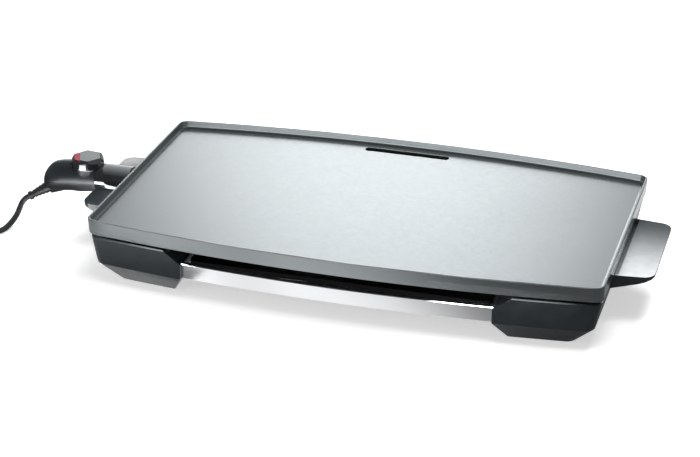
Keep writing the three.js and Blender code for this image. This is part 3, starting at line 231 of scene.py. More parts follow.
def plain_brass():
    shader = Shader("plain_brass", (0.62, 0.42, 0.14), 0.32, 1.0)
    return shader.textured((120, 3), (0.45, 0.28, 0.09), (500, 3), 0.08, (1200, 2), 0.00002)


def unglazed_ceramic():
    shader = Shader("unglazed_ceramic", (0.78, 0.74, 0.66), 0.7)
    return shader.textured((90, 4), (0.7, 0.65, 0.56), (400, 4), 0.08, (1500, 4), 0.00005)


def matt_rubber(name="matt_rubber", colour=(0.014, 0.014, 0.015), other=(0.02, 0.02, 0.021)):
    shader = Shader(name, colour, 0.68)
    return shader.textured((60, 4), other, (240, 4), 0.08, (1700, 3), 0.00004)


def satin_grey():
    shader = Shader("satin_grey", (0.17, 0.185, 0.19), 0.3, 0.4)
    return shader.textured((700, 2), (0.2, 0.215, 0.22), (900, 3), 0.05, (2200, 2), 0.00001)


def red_lens():
    shader = Shader("red_lens", (0.28, 0.03, 0.045), 0.14, Coat_Weight=0.4)
    return shader.textured((500, 2), (0.4, 0.05, 0.07), (300, 3), 0.04, (600, 2), 0.00001)


def cord_rubber():
    shader = Shader("cord_rubber", (0.022, 0.025, 0.027), 0.38)
    return shader.textured((80, 3), (0.032, 0.035, 0.037), (200, 4), 0.06, (1300, 3), 0.00003)


FINISHES = {
    "cast_coating": cast_coating(),
    "element_steel": element_steel(),
    "brass": plain_brass(),
    "ceramic": unglazed_ceramic(),
    "bright_steel": bright_steel(),
    "screw_steel": screw_steel(),
    "black_plastic": moulded_black(),
    "gloss_black": gloss_black(),
    "rubber": matt_rubber(),
    "silicone": matt_rubber("grey_silicone", (0.045, 0.05, 0.055), (0.06, 0.065, 0.07)),
    "dark_sheet": dark_sheet(),
    "satin_grey": satin_grey(),
    "red_lens": red_lens(),
    "cord_rubber": cord_rubber(),
}
SLOT_OF = {part["node"]: part["material_slot"] for part in frame["record"]["subparts"]}
BODY_OF = {
    node: body
    for body, nodes in frame["record"]["behaviour"]["bodies"].items()
    for node in nodes
}


# Mesh tools

SAME_PLACE = 1e-7
SAME_PLACE_AFTER_CUTS = 2e-6
FLAT_ANGLE = math.radians(0.6)
BEVEL_ANGLE = math.radians(30)
SHARP_ANGLE = math.radians(38)
THINNEST = 0.001


def mesh_object(name, points, faces):
    mesh = bpy.data.meshes.new(name)
    mesh.from_pydata([metres(point) for point in points], [], faces)
    piece = bpy.data.objects.new(name, mesh)
    scene.collection.objects.link(piece)
    form = bmesh.new()
    form.from_mesh(mesh)
    bmesh.ops.remove_doubles(form, verts=form.verts, dist=SAME_PLACE)
    bmesh.ops.recalc_face_normals(form, faces=form.faces)
    form.to_mesh(mesh)
    form.free()
    return piece


def loft(name, rings):
    count = len(rings[0])
    faces = []
    for i in range(len(rings) - 1):
        for k in range(count):
            a, b = i * count + k, i * count + (k + 1) % count
            faces.append((a, b, b + count, a + count))
    last = (len(rings) - 1) * count
    faces.append(tuple(reversed(range(count))))
    faces.append(tuple(range(last, last + count)))
    return mesh_object(name, [point for ring in rings for point in ring], faces)


def rounded(corners, steps, closed=True):
    """Rounds each corner (x, y, radius) of a path; one without a radius stays sharp."""
    points = []
    last = len(corners) - 1
    for i, corner in enumerate(corners):
        here = Vector(corner[:2])
        radius = corner[2] if len(corner) > 2 else 0
        if radius <= 0 or (not closed and i in (0, last)):
            points.append(here)
            continue
        before = (Vector(corners[i - 1][:2]) - here).normalized()
        after = (Vector(corners[(i + 1) % len(corners)][:2]) - here).normalized()
        half = math.acos(max(-1.0, min(1.0, before.dot(after)))) / 2
        centre = here + (before + after).normalized() * (radius / math.sin(half))
        start = here + before * (radius / math.tan(half)) - centre
        turn = -math.copysign(math.pi - 2 * half, before.cross(after))
        for k in range(steps + 1):
            points.append(centre + Matrix.Rotation(turn * k / steps, 2) @ start)
    return points


def prism(plane, corners, low, high, steps=6):
    """Extrudes an outline drawn in a plane of the frame, between two values of the third axis."""
    outline = rounded(corners, steps)
    place = {
        "xy": lambda p, w: (p.x, p.y, w),
        "xz": lambda p, w: (p.x, w, p.y),
        "yz": lambda p, w: (w, p.x, p.y),
    }[plane]
    return loft("tool", [[place(p, w) for p in outline] for w in (low, high)])


def block(xs, ys, zs):
    return prism("xy", [(xs[0], ys[0]), (xs[1], ys[0]), (xs[1], ys[1]), (xs[0], ys[1])], *zs)


def turned(profile, start, end, segments):
    """A turned piece; each (radius, height) of the profile is measured from start towards end."""
    start, end = Vector(start), Vector(end)
    turn = Vector((0, 0, 1)).rotation_difference((end - start).normalized()).to_matrix()
    rings = []
    for radius, height in profile:
        angles = [2 * math.pi * k / segments for k in range(segments)]
        reach = max(radius, THINNEST)
        ring = [Vector((reach * math.cos(a), reach * math.sin(a), height)) for a in angles]
        rings.append([start + turn @ point for point in ring])
    return loft("tool", rings)


def rod(axis, radius, low, high, place, segments=32):
    start, end = list(place), list(place)
    start["xyz".index(axis)], end["xyz".index(axis)] = low, high
    return turned([(radius, 0), (radius, high - low)], start, end, segments)


def applied(piece):
    """Applies a piece's modifiers to its mesh."""
    graph = bpy.context.evaluated_depsgraph_get()
    mesh = bpy.data.meshes.new_from_object(piece.evaluated_get(graph))
    piece.modifiers.clear()
    piece.data = mesh
    return piece


def combined(operation, piece, *tools):
    for tool in tools:
        step = piece.modifiers.new("step", "BOOLEAN")
        step.operation = operation
        step.solver = "EXACT"
        step.object = tool
    applied(piece)
    for tool in tools:
        bpy.data.objects.remove(tool)
    return piece


def joined(piece, *tools):
    return combined("UNION", piece, *tools)


def cut(piece, *tools):
    return combined("DIFFERENCE", piece, *tools)


def shared(piece, *tools):
    return combined("INTERSECT", piece, *tools)


def mirrored(piece):
    """Mirrors a piece across the plate's middle."""
    for vertex in piece.data.vertices:
        vertex.co.x = 2 * SHIFT * 0.001 - vertex.co.x
    piece.data.flip_normals()
    return piece


def bevelled(piece, width, segments=2):
    """Rounds the edges by a width, or by none, and gives flat faces flat shading."""
    form = bmesh.new()
    form.from_mesh(piece.data)
    bmesh.ops.remove_doubles(form, verts=form.verts, dist=SAME_PLACE_AFTER_CUTS)
    bmesh.ops.dissolve_limit(form, angle_limit=FLAT_ANGLE, verts=form.verts, edges=form.edges)
    form.to_mesh(piece.data)
    form.free()
    if width:
        step = piece.modifiers.new("edge", "BEVEL")
        step.width = width * 0.001
        step.segments = segments
        step.limit_method = "ANGLE"
        step.angle_limit = BEVEL_ANGLE
        applied(piece)
    piece.data.shade_smooth()
    piece.data.set_sharp_from_angle(angle=SHARP_ANGLE)
    step = piece.modifiers.new("normals", "WEIGHTED_NORMAL")
    step.keep_sharp = True
    return applied(piece)


def stand_in(piece, name, *nodes):
    """Names a finished piece, gives it its finish and puts it in place of its CAD nodes."""
    piece.name = name
    piece.data.name = name
    slot = SLOT_OF[nodes[0]]
    piece.data.materials.clear()
    piece.data.materials.append(FINISHES[slot])
    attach(piece, BODY_OF[nodes[0]])
    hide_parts(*nodes)
    return piece


def softened(node, width=0.35):
    """A copy of a CAD node with softened edges."""
    piece = bpy.data.objects.new(node, frame["nodes"][node].data.copy())
    scene.collection.objects.link(piece)
    return stand_in(bevelled(piece, width), f"{node}_finish", node)


# Mains cord

CORD_DIAMETER = 7.0
RELIEF_START = Vector((-409, -0.5, 43))
RELIEF_END = Vector((-436, -18, 29.6))
RELIEF_WAY = (RELIEF_END - RELIEF_START).normalized()
RELIEF_LENGTH = (RELIEF_END - RELIEF_START).length
SPOUT_LENGTH = 9.0
RELIEF_ROOT = 6.8
RELIEF_TIP = 4.6
RELIEF_COLLAR = 5.4
RELIEF_FLANGE = 8.1
RELIEF_FLANGE_DEPTH = 2.4
RELIEF_RIBS = 4
RELIEF_GROOVE = 0.9
COIL_CENTRE = Vector((-520, -130, 0))
COIL_INNER = 28.2
COIL_TURNS = 2.5
COIL_PITCH = 7.7
COIL_DIP = 2.5
SURFACE_GAP = 0.1
PLUG_RADIUS = 18.5
PLUG_X = -546.0
PLUG_REAR = -26.0
PLUG_LENGTH = 46.0
PLUG_AXIS = PLUG_RADIUS + SURFACE_GAP
PLUG_FLAT = 15.5
PLUG_FLAT_HALF = 4.0
PIN_RADIUS = 2.4
PIN_SPACING = 19.0
PIN_SOCKET = 8.0


def coil_path(steps=48):
    """The coil's turns: inwards on the table, up one layer, and outwards on top."""
    outer = COIL_INNER + COIL_TURNS * COIL_PITCH
    turns = 2 * COIL_TURNS + 0.5
    count = round(turns * steps)
    points = []
    for i in range(count + 1):
        turn = turns * i / count
        climb = min(max((turn - COIL_TURNS) / 0.5, 0.0), 1.0)
        if turn < COIL_TURNS:
            radius = outer - COIL_PITCH * turn
        elif climb < 1:
            radius = COIL_INNER - COIL_DIP * math.sin(math.pi * climb)
        else:
            radius = COIL_INNER + COIL_PITCH * (turn - COIL_TURNS - 0.5)
        rise = COIL_PITCH * climb * climb * (3 - 2 * climb)
        angle = -2 * math.pi * turn
        height = CORD_DIAMETER / 2 + SURFACE_GAP + rise
        around = Vector((radius * math.cos(angle), radius * math.sin(angle), height))
        points.append(COIL_CENTRE + around)
    return points


def smooth_path(points, steps=6):
    """Points along a centripetal Catmull-Rom curve through the given ones."""
    ends = [points[0] * 2 - points[1], *points, points[-1] * 2 - points[-2]]
    path = [points[0]]
    for a, b, c, d in zip(ends, ends[1:], ends[2:], ends[3:]):
        ta, tb, tc = ((b - a).length ** 0.5, (c - b).length ** 0.5, (d - c).length ** 0.5)
        leave = ((b - a) / ta - (c - a) / (ta + tb) + (c - b) / tb) * tb
        arrive = ((c - b) / tb - (d - b) / (tb + tc) + (d - c) / tc) * tb
        for k in range(1, steps + 1):
            t = k / steps
            path.append(b * (2 * t**3 - 3 * t**2 + 1) + leave * (t**3 - 2 * t**2 + t)
                        + c * (3 * t**2 - 2 * t**3) + arrive * (t**3 - t**2))
    return path


def cord_route():
    coil = coil_path()
    lead_in = (coil[0] - coil[1]).normalized()
    tail_out = (coil[-1] - coil[-2]).normalized()
    lead = [
        RELIEF_END + RELIEF_WAY * SEAT_GAP,
        RELIEF_END + RELIEF_WAY * CORD_DIAMETER / 2,
        Vector((-442.6, -24, 23.9)),
        Vector((-446, -36.5, 10.6)),
        Vector((-449.7, -60.6, 4)),
        Vector((-456.4, -75.8, 3.6)),
        Vector((-461.5, -92, 3.6)),
        Vector((-468.6, -108, 3.6)),
        coil[0] + lead_in * CORD_DIAMETER,
    ]
    tail = [
        coil[-1] + tail_out * CORD_DIAMETER,
        Vector((-566, -106, 12.6)),
        Vector((-560, -87, 14.5)),
        Vector((-553, -70, 16.5)),
        Vector((-548, -54, 18)),
        Vector((PLUG_X, PLUG_REAR - CORD_DIAMETER, PLUG_AXIS)),
        Vector((PLUG_X, PLUG_REAR - SEAT_GAP, PLUG_AXIS)),
    ]
    lead = smooth_path([*lead, coil[0]])
    tail = smooth_path([coil[-1], *tail])
    return [*lead[:-1], *coil, *tail[1:]]


def cord_relief():
    profile = [(0, -RELIEF_FLANGE_DEPTH), (RELIEF_FLANGE, -RELIEF_FLANGE_DEPTH), (RELIEF_FLANGE, 0),
               (RELIEF_ROOT, 0)]
    start = SPOUT_LENGTH + 3
    step = (RELIEF_LENGTH - 5 - start) / RELIEF_RIBS
    for k in range(RELIEF_RIBS):
        at = start + k * step
        radius = RELIEF_ROOT + (RELIEF_TIP - RELIEF_ROOT) * k / RELIEF_RIBS
        groove = radius - RELIEF_GROOVE
        profile += [(radius, at), (radius, at + 0.5 * step), (groove, at + 0.6 * step),
                    (groove, at + 0.95 * step)]
    profile += [(RELIEF_COLLAR, RELIEF_LENGTH - 4.4), (RELIEF_COLLAR, RELIEF_LENGTH - 0.6),
                (RELIEF_COLLAR - 0.6, RELIEF_LENGTH), (0, RELIEF_LENGTH)]
    piece = turned(profile, RELIEF_START, RELIEF_END, 36)
    return stand_in(bevelled(piece, 0.2), "cord_relief_sleeve", "cord_relief")


def plug_body():
    stations = [(0, 5), (4, 5.4), (8, 5.9), (12, 7), (16, 9.3), (20, 12), (23, 14.5), (26, 16.5),
                (29, 17.6), (32, 17.6), (33, PLUG_RADIUS), (PLUG_LENGTH - 1, PLUG_RADIUS),
                (PLUG_LENGTH, PLUG_RADIUS - 0.8)]
    profile = [(0, 0), *[(radius, at) for at, radius in stations], (0, PLUG_LENGTH)]
    piece = turned(profile, (PLUG_X, PLUG_REAR, PLUG_AXIS), (PLUG_X, 0, PLUG_AXIS), 64)
    front = PLUG_REAR + PLUG_LENGTH
    tools = []
    for end in (-1, 1):
        flat = sorted((PLUG_X + end * PLUG_FLAT, PLUG_X + end * 2 * PLUG_RADIUS))
        tools.append(block(flat, (PLUG_REAR - 1, front + 1),
                           (PLUG_AXIS - PLUG_FLAT_HALF, PLUG_AXIS + PLUG_FLAT_HALF)))
        tools.append(rod("y", PIN_RADIUS + SEAT_GAP, front - PIN_SOCKET, front + 1,
                         (PLUG_X + end * PIN_SPACING / 2, 0, PLUG_AXIS)))
    return stand_in(bevelled(cut(piece, *tools), 0.4), "plug_moulding", "plug_body")


def mains_cord():
    route = [metres(point) for point in cord_route()]
    data = bpy.data.curves.new("mains_cord", "CURVE")
    data.dimensions = "3D"
    data.bevel_depth = CORD_DIAMETER / 2 * 0.001
    data.bevel_resolution = 5
    data.use_fill_caps = True
    spline = data.splines.new("POLY")
    spline.points.add(len(route) - 1)
    for point, place in zip(spline.points, route):
        point.co = (*place, 1)
    piece = bpy.data.objects.new("mains_cord", data)
    scene.collection.objects.link(piece)
    stand_in(piece, "mains_cord", "cord_lead", "cord_coil", "cord_tail")
    with_pieces = [cord_relief(), plug_body(),
                   softened("plug_pin_left"), softened("plug_pin_right")]


mains_cord()


# Plate

PLATE_LENGTH = 600.0
PLATE_END_WIDTH = 306.8
PLATE_BOW = 21.4
PLATE_CORNER = 12.0
FRAME_TOP = 57.0
SKIRT_BOTTOM = 61.1
RIM_TOP = 78.9
FLOOR_TOP = 71.2
FLOOR_UNDER = 66.2
RIM = 3.0
DRAIN_LENGTH = 107.0
DRAIN_WIDTH = 11.0
DRAIN_TO_RIM = 16.0
ELEMENT_RADIUS = 3.25
ELEMENT_HEIGHT = FLOOR_UNDER - 4
OUTER_RUN = 95.0
INNER_RUN = 32.0
ELEMENT_START = 282.0
AXIS_HEIGHT = 60.0
PIN_HEIGHT = AXIS_HEIGHT - 4
PIN_Y = 10.5
ELEMENT_BEND = 14.0
OUTER_TURN = 240.0
INNER_TURN = 222.0
RIGHT_TURN = 250.0
LEAD_KNEE = (276.0, 256.0)
LUG_HALF = 6.4
PROBE_BORE = 4.1
GUARD_SCREW = (-276.0, 26.5)
GUARD_BOSS_RADIUS = 3.6
GUARD_BOSS_BOTTOM = 62.4
SCREW_PILOT = 1.8
FLOOR_FILLET = 2.4
BOW_RADIUS = ((PLATE_LENGTH / 2) ** 2 + PLATE_BOW**2) / (2 * PLATE_BOW)
BOW_CENTRE = BOW_RADIUS - PLATE_END_WIDTH / 2 - PLATE_BOW


def side_at(x, inset):
    return math.sqrt((BOW_RADIUS - inset) ** 2 - x * x) - BOW_CENTRE


def tray_ring(end_inset, side_inset, corner, height, steps=32, corner_steps=8):
    """Plan outline of the tray: straight ends, bowed long sides, rounded corners."""
    half = PLATE_LENGTH / 2 - end_inset
    front = []
    for i in range(steps + 1):
        x = -half + 2 * half * i / steps
        front.append((x, -side_at(x, side_inset), corner if i % steps == 0 else 0))
    back = [(x, -y, radius) for x, y, radius in reversed(front)]
    return [(p.x, p.y, height) for p in rounded(front + back, corner_steps)]


def swept(path, section):
    """A closed section swept along a path, standing as upright as it can."""
    rings = []
    for i, point in enumerate(path):
        before, after = path[max(i - 1, 0)], path[min(i + 1, len(path) - 1)]
        incoming, outgoing = (point - before).normalized(), (after - point).normalized()
        along = (incoming + outgoing).normalized()
        side = along.cross(Vector((0, 0, 1))).normalized()
        rise = side.cross(along)
        mitre = 1 / max(along.dot(outgoing if i == 0 else incoming), 0.5)
        rings.append([point + side * (u * mitre) + rise * v for u, v in section])
    return loft("tool", rings)


def circle(radius, sides):
    angles = [2 * math.pi * (k + 0.5) / sides for k in range(sides)]
    return [(radius * math.cos(a), radius * math.sin(a)) for a in angles]


def element_path():
    bend = (OUTER_RUN - INNER_RUN) / 2
    corners = [
        (-ELEMENT_START, -PIN_Y), (-OUTER_TURN, -PIN_Y, ELEMENT_BEND),
        (-OUTER_TURN, -OUTER_RUN, ELEMENT_BEND),
        (RIGHT_TURN, -OUTER_RUN, bend), (RIGHT_TURN, -INNER_RUN, bend),
        (-INNER_TURN, -INNER_RUN, INNER_RUN), (-INNER_TURN, INNER_RUN, INNER_RUN),
        (RIGHT_TURN, INNER_RUN, bend), (RIGHT_TURN, OUTER_RUN, bend),
        (-OUTER_TURN, OUTER_RUN, ELEMENT_BEND), (-OUTER_TURN, PIN_Y, ELEMENT_BEND),
        (-ELEMENT_START, PIN_Y),
    ]
    path = []
    for point in rounded(corners, 10, closed=False):
        if not path or (point - path[-1].to_2d()).length > 0.01:
            path.append(Vector((point.x, point.y, ELEMENT_HEIGHT)))
    return path[1:-1]


def lead_path(side):
    y = side * PIN_Y
    low, high = LEAD_KNEE
    return [Vector((-ELEMENT_START, y, PIN_HEIGHT)), Vector((-low, y, PIN_HEIGHT)),
            Vector((-high, y, ELEMENT_HEIGHT))]


def cooking_plate():
    levels = [
        (3.9, FLOOR_UNDER), (3.9, SKIRT_BOTTOM + 0.5), (3.75, SKIRT_BOTTOM + 0.15),
        (3.4, SKIRT_BOTTOM),
        (1.4, SKIRT_BOTTOM), (1.05, SKIRT_BOTTOM + 0.15), (0.88, SKIRT_BOTTOM + 0.5),
        (0.04, RIM_TOP - 0.8), (0.12, RIM_TOP - 0.4), (0.35, RIM_TOP - 0.12), (0.75, RIM_TOP),
        (RIM - 0.75, RIM_TOP), (RIM - 0.35, RIM_TOP - 0.12), (RIM - 0.1, RIM_TOP - 0.4),
        (RIM, RIM_TOP - 0.8),
    ]
    for k in range(7):
        angle = math.pi / 2 * k / 6
        levels.append((RIM + 1 + FLOOR_FILLET * (1 - math.cos(angle)),
                       FLOOR_TOP + FLOOR_FILLET * (1 - math.sin(angle))))
    tray = loft("tray", [tray_ring(i, i, PLATE_CORNER - i, z) for i, z in levels])
    run = element_path()
    half = ELEMENT_RADIUS + 3
    ridge_path = [lead_path(-1)[-1], *run, lead_path(1)[-1]]
    ridge = swept(ridge_path, [(-half, 0), (half, 0), (half, 5), (-half, 5)])
    lug_end = -LEAD_KNEE[1]
    lug = block((-ELEMENT_START + SEAT_GAP, lug_end), (-LUG_HALF, LUG_HALF),
                (PIN_HEIGHT - LUG_HALF, FLOOR_UNDER + 1))
    screw_x, screw_y = GUARD_SCREW
    bosses = [rod("z", GUARD_BOSS_RADIUS, GUARD_BOSS_BOTTOM, FLOOR_UNDER + 1,
                  (screw_x, side * screw_y, 0)) for side in (-1, 1)]
    tools = [swept(ridge_path, circle(ELEMENT_RADIUS + SEAT_GAP, 16)),
             rod("x", PROBE_BORE, -ELEMENT_START - 6, lug_end + 1, (0, 0, PIN_HEIGHT))]
    for side in (-1, 1):
        tools.append(rod("z", SCREW_PILOT, GUARD_BOSS_BOTTOM - 1.4, FLOOR_UNDER + 2,
                         (screw_x, side * screw_y, 0)))
        lead = [*lead_path(side), Vector((lug_end + 1, side * PIN_Y, ELEMENT_HEIGHT))]
        tools.append(swept(lead, circle(ELEMENT_RADIUS + SEAT_GAP, 16)))
    middle = side_at(0, RIM) - DRAIN_TO_RIM - DRAIN_WIDTH / 2
    corner = 0.49 * DRAIN_WIDTH
    corners = [(sx * DRAIN_LENGTH / 2, middle + sy * DRAIN_WIDTH / 2, corner)
               for sx, sy in ((-1, -1), (1, -1), (1, 1), (-1, 1))]
    tools.append(prism("xy", corners, FLOOR_UNDER - 1, FLOOR_TOP + 1, 10))
    plate = cut(joined(tray, ridge, lug, *bosses), *tools)
    return stand_in(bevelled(plate, 0.5), "cooking_plate", "griddle_plate")


def heating_rod():
    path = [*lead_path(-1), *element_path(), *reversed(lead_path(1))]
    piece = bevelled(swept(path, circle(ELEMENT_RADIUS, 20)), 0)
    return stand_in(piece, "heating_rod", "heating_element")


cooking_plate()
heating_rod()


# End frames and rails

FRAME_INSET = 2.6
FRAME_WALL = 3.0
FRAME_BEVEL = 1.2
SOLE_INSETS = (30.3, 20.0)
KNEE_INSET = 8.7
SOLE = 0.8
KNEE = 24.4
SHELF_BOTTOM = 24.8
FOOT_FRONT = 195.8
FOOT_KNEE = 181.0
FOOT_TOP = 202.8
FOOT_INSIDE = 70.0
FOOT_TOE = 85.0
POST = (236.0, 115.0)
POST_RADIUS = 8.5
PAD_RADIUS = 7.5
PAD_DEPTH = 2.4
REST_RADIUS = 3.0
REST_DEPTH = 8.3
SHIELD_SCREW = (276.0, 45.0)
SHIELD_BOSS_RADIUS = 4.5
END_WALL = (268.0, 300.0)
END_WALL_HALF = 71.0
SHELF_HALF = 60.0
SOCKET_HALF = 17.0
SOCKET_BOTTOM = 47.0
HANDLE_ROOT = 292.0
HANDLE_TIP = 342.0
HANDLE_TOP = FRAME_TOP + 0.5
HANDLE_HALF = 76.5
HANDLE_SKIN = 2.8
HANDLE_TAPER = 5.5
HANDLE_CORNER = 14.0
LOBE_CORNER = 9.0
GROOVE = (298.0, 303.0)
CHANNEL_HALF = 25.0
RAIL_INSET = 7.0
RAIL_THICKNESS = 1.5
RAIL_LEVELS = (24.0, 42.0)
RAIL_END = 206.0
RAIL_SCREW = (199.0, side_at(199.0, 11.4))
RAIL_BOSS_RADIUS = 2.6
PAN_BOTTOM = 28.1


def base_form(inset, top, bottom):
    """The outer form of the base, from the sole outwards to the top, or with an inset its hollow."""
    corner = PLATE_CORNER - inset
    bevel = 0 if inset else FRAME_BEVEL
    levels = [(*SOLE_INSETS, bottom), (KNEE_INSET, FRAME_INSET, KNEE),
              (FRAME_INSET, FRAME_INSET, top - bevel)]
    if bevel:
        levels.append((FRAME_INSET + bevel, FRAME_INSET + bevel, top))
    rings = [tray_ring(end + inset, side + inset, corner, z, 24, 6) for end, side, z in levels]
    return loft("form", rings)


def foot_face(inset):
    far = PLATE_LENGTH
    corners = [
        (FOOT_FRONT + inset, -2 * SOLE), (FOOT_FRONT + inset, SOLE), (FOOT_KNEE + inset, KNEE, 1),
        (FOOT_KNEE + inset, RAIL_LEVELS[1], 3), (FOOT_TOP + inset, FRAME_TOP, 1),
        (FOOT_TOP + 3 + inset, FRAME_TOP + 5), (far, FRAME_TOP + 5), (far, -2 * SOLE),
    ]
    return prism("xz", corners, -far, far)


def foot_side(direction, inset):
    back, toe, far = (direction * d for d in (FOOT_INSIDE + inset, FOOT_TOE + inset, PLATE_LENGTH))
    corners = [(toe, -2 * SOLE), (toe, SOLE), (back, SHELF_BOTTOM), (back, FRAME_TOP + 5),
               (far, FRAME_TOP + 5), (far, -2 * SOLE)]
    return prism("yz", corners, 0, PLATE_LENGTH)


def rail_sweep(direction, section, half_length, steps=40):
    half = math.asin(half_length / BOW_RADIUS)
    rings = []
    for i in range(steps + 1):
        angle = -half + 2 * half * i / steps
        ring = []
        for inset, height in section:
            reach = BOW_RADIUS - inset
            y = direction * (reach * math.cos(angle) - BOW_CENTRE)
            ring.append((reach * math.sin(angle), y, height))
        rings.append(ring)
    return loft("tool", rings)


def rail_section(gap):
    near, far = RAIL_INSET - gap, RAIL_INSET + RAIL_THICKNESS + gap
    low, high = RAIL_LEVELS[0] - gap, RAIL_LEVELS[1] + gap
    under = RAIL_LEVELS[1] - RAIL_THICKNESS - gap
    flange = RAIL_INSET + 7 + gap
    return [(near, low), (far, low), (far, under), (flange, under), (flange, high),
            (near + 0.8, high), (near, high - 0.8)]


def wing(front, back, front_taper, back_taper, front_corner, back_corner):
    """A hollow handle, or one of the two lobes beside the thermostat."""
    def plan(inset):
        tip = HANDLE_TIP - inset
        return [(HANDLE_ROOT, front + inset), (tip, front + front_taper + inset, front_corner - inset),
                (tip, back - back_taper - inset, back_corner - inset), (HANDLE_ROOT, back - inset)]

    def profile(drop, under):
        top = HANDLE_TOP - drop
        return [(HANDLE_ROOT, top), (HANDLE_ROOT, HANDLE_TOP - 17.5 - under),
                (325, HANDLE_TOP - 9 - under), (HANDLE_TIP, HANDLE_TOP - 3 - under), (HANDLE_TIP, top)]

    wide = PLATE_LENGTH
    outer = shared(prism("xy", plan(0), 0, RIM_TOP, 10), prism("xz", profile(0, 0), -wide, wide))
    inner = shared(prism("xy", plan(HANDLE_SKIN), 0, RIM_TOP, 10),
                   prism("xz", profile(HANDLE_SKIN, 12), -wide, wide),
                   block((GROOVE[1] + HANDLE_SKIN - 1, HANDLE_TIP), (-wide, wide), (0, RIM_TOP)))
    return cut(outer, inner)


def front_and_rear(make):
    return [make(direction) for direction in (-1, 1)]


def upright_pair(radius, low, high, place, **options):
    """Two upright rods, in front and at the rear."""
    x, y = place
    return front_and_rear(lambda d: rod("z", radius, low, high, (x, d * y, 0), **options))


def hollow_foot(direction):
    outer = shared(base_form(0, FRAME_TOP, SOLE), foot_face(0), foot_side(direction, 0))
    inner = shared(base_form(FRAME_WALL, FRAME_TOP - FRAME_WALL, -2 * SOLE), foot_face(FRAME_WALL),
                   foot_side(direction, FRAME_WALL))
    return cut(outer, inner)


def end_wall(half, top):
    return shared(base_form(0, FRAME_TOP, SOLE), block(END_WALL, (-half, half), (SHELF_BOTTOM, top)))


def end_frame(split):
    """The right end frame, or split and mirrored for the thermostat the left one."""
    feet = front_and_rear(hollow_foot)
    wall = cut(end_wall(END_WALL_HALF, FRAME_TOP), base_form(FRAME_WALL, FRAME_TOP + 5, SOLE))
    shelf = end_wall(SHELF_HALF, SHELF_BOTTOM + 3)
    top = FRAME_TOP - FRAME_WALL / 2
    parts = [wall, shelf]
    parts += upright_pair(SHIELD_BOSS_RADIUS, SHELF_BOTTOM - 5, SHELF_BOTTOM + 3, SHIELD_SCREW)
    parts += upright_pair(POST_RADIUS, SOLE, top, POST, segments=40)
    parts += upright_pair(RAIL_BOSS_RADIUS, RAIL_LEVELS[1] + SEAT_GAP, top, RAIL_SCREW)
    if split:
        parts.append(wing(-HANDLE_HALF, -CHANNEL_HALF, HANDLE_TAPER, 0, HANDLE_CORNER, LOBE_CORNER))
        parts.append(wing(CHANNEL_HALF, HANDLE_HALF, 0, HANDLE_TAPER, LOBE_CORNER, HANDLE_CORNER))
    else:
        parts.append(wing(-HANDLE_HALF, HANDLE_HALF, HANDLE_TAPER, HANDLE_TAPER, HANDLE_CORNER,
                          HANDLE_CORNER))
    groove = HANDLE_HALF - HANDLE_SKIN
    tools = [block(GROOVE, (-groove, groove), (FRAME_TOP - 5.5, RIM_TOP))]
    tools += upright_pair(PAD_RADIUS + SEAT_GAP, 0, PAD_DEPTH + SEAT_GAP, POST)
    tools += upright_pair(REST_RADIUS + SEAT_GAP, FRAME_TOP - REST_DEPTH, RIM_TOP, POST)
    tools += front_and_rear(lambda d: rail_sweep(d, rail_section(SEAT_GAP), RAIL_END + 1))
    tools += upright_pair(SCREW_PILOT, RAIL_LEVELS[1] - 1, FRAME_TOP - 4, RAIL_SCREW)
    tools += upright_pair(SCREW_PILOT, SHELF_BOTTOM - 4, PAN_BOTTOM, SHIELD_SCREW)
    if split:
        tools.append(block((GROOVE[0] - SEAT_GAP, HANDLE_TIP + 1), (-CHANNEL_HALF, CHANNEL_HALF),
                           (0, RIM_TOP)))
        tools.append(block(END_WALL, (-SOCKET_HALF, SOCKET_HALF), (SOCKET_BOTTOM, RIM_TOP)))
    piece = cut(joined(*feet, *parts), *tools)
    if split:
        mirrored(piece)
    side = "left" if split else "right"
    return stand_in(bevelled(piece, 0.8), f"{side}_end_moulding", f"{side}_end_frame")


def rail(direction):
    section = rounded([(*corner, 0.45) for corner in rail_section(0)], 3)
    piece = rail_sweep(direction, section, RAIL_END, 64)
    x, y = RAIL_SCREW
    low, high = RAIL_LEVELS[1] - 3, RAIL_LEVELS[1] + 1
    holes = [rod("z", SCREW_PILOT, low, high, (end * x, direction * y, 0)) for end in (-1, 1)]
    side = "front" if direction < 0 else "rear"
    return stand_in(bevelled(cut(piece, *holes), 0), f"{side}_steel_rail", f"{side}_rail")


end_frame(False)
end_frame(True)
rail(-1)
rail(1)


# Thermostat

# The photo shows the seam here, 8 mm nearer to the plate than it is in the CAD.
SEAM_X = 348.0
COLLAR_RADIUS = 17.5
COLLAR_FRONT = 303.3
SPLIT = 56.0
GRIP_WALL = 2.4
GRIP_REAR = 422.0
GRIP_RADIUS = 18.0
PLINTH_RADIUS = 18.2
PLINTH_TOP = 72.4
PLINTH_FOOT = 60.0
KNOB_X = 362.5
KNOB_RADIUS = 19.6
KNOB_BOTTOM = PLINTH_TOP + RUNNING_GAP
KNOB_TOP = KNOB_BOTTOM + 12.5
KNOB_BEVEL = 4.0
KNOB_FLAT = 15.4
KNOB_TURN = 23.0
LENS_INNER = 9.6
LENS_RADIUS = 16.8
AT_KNOB = (-KNOB_X, 0, 0)
ON_AXIS = (0, 0, AXIS_HEIGHT)
ABOVE = 100.0
SPINDLE_BORE = 3.6
SPINDLE_RADIUS = 3.0
SHELL_SCREW = (-397.0, 8.0)
SHELL_COLUMN_RADIUS = 4.1
SHELL_HEAD_RADIUS = 2.9
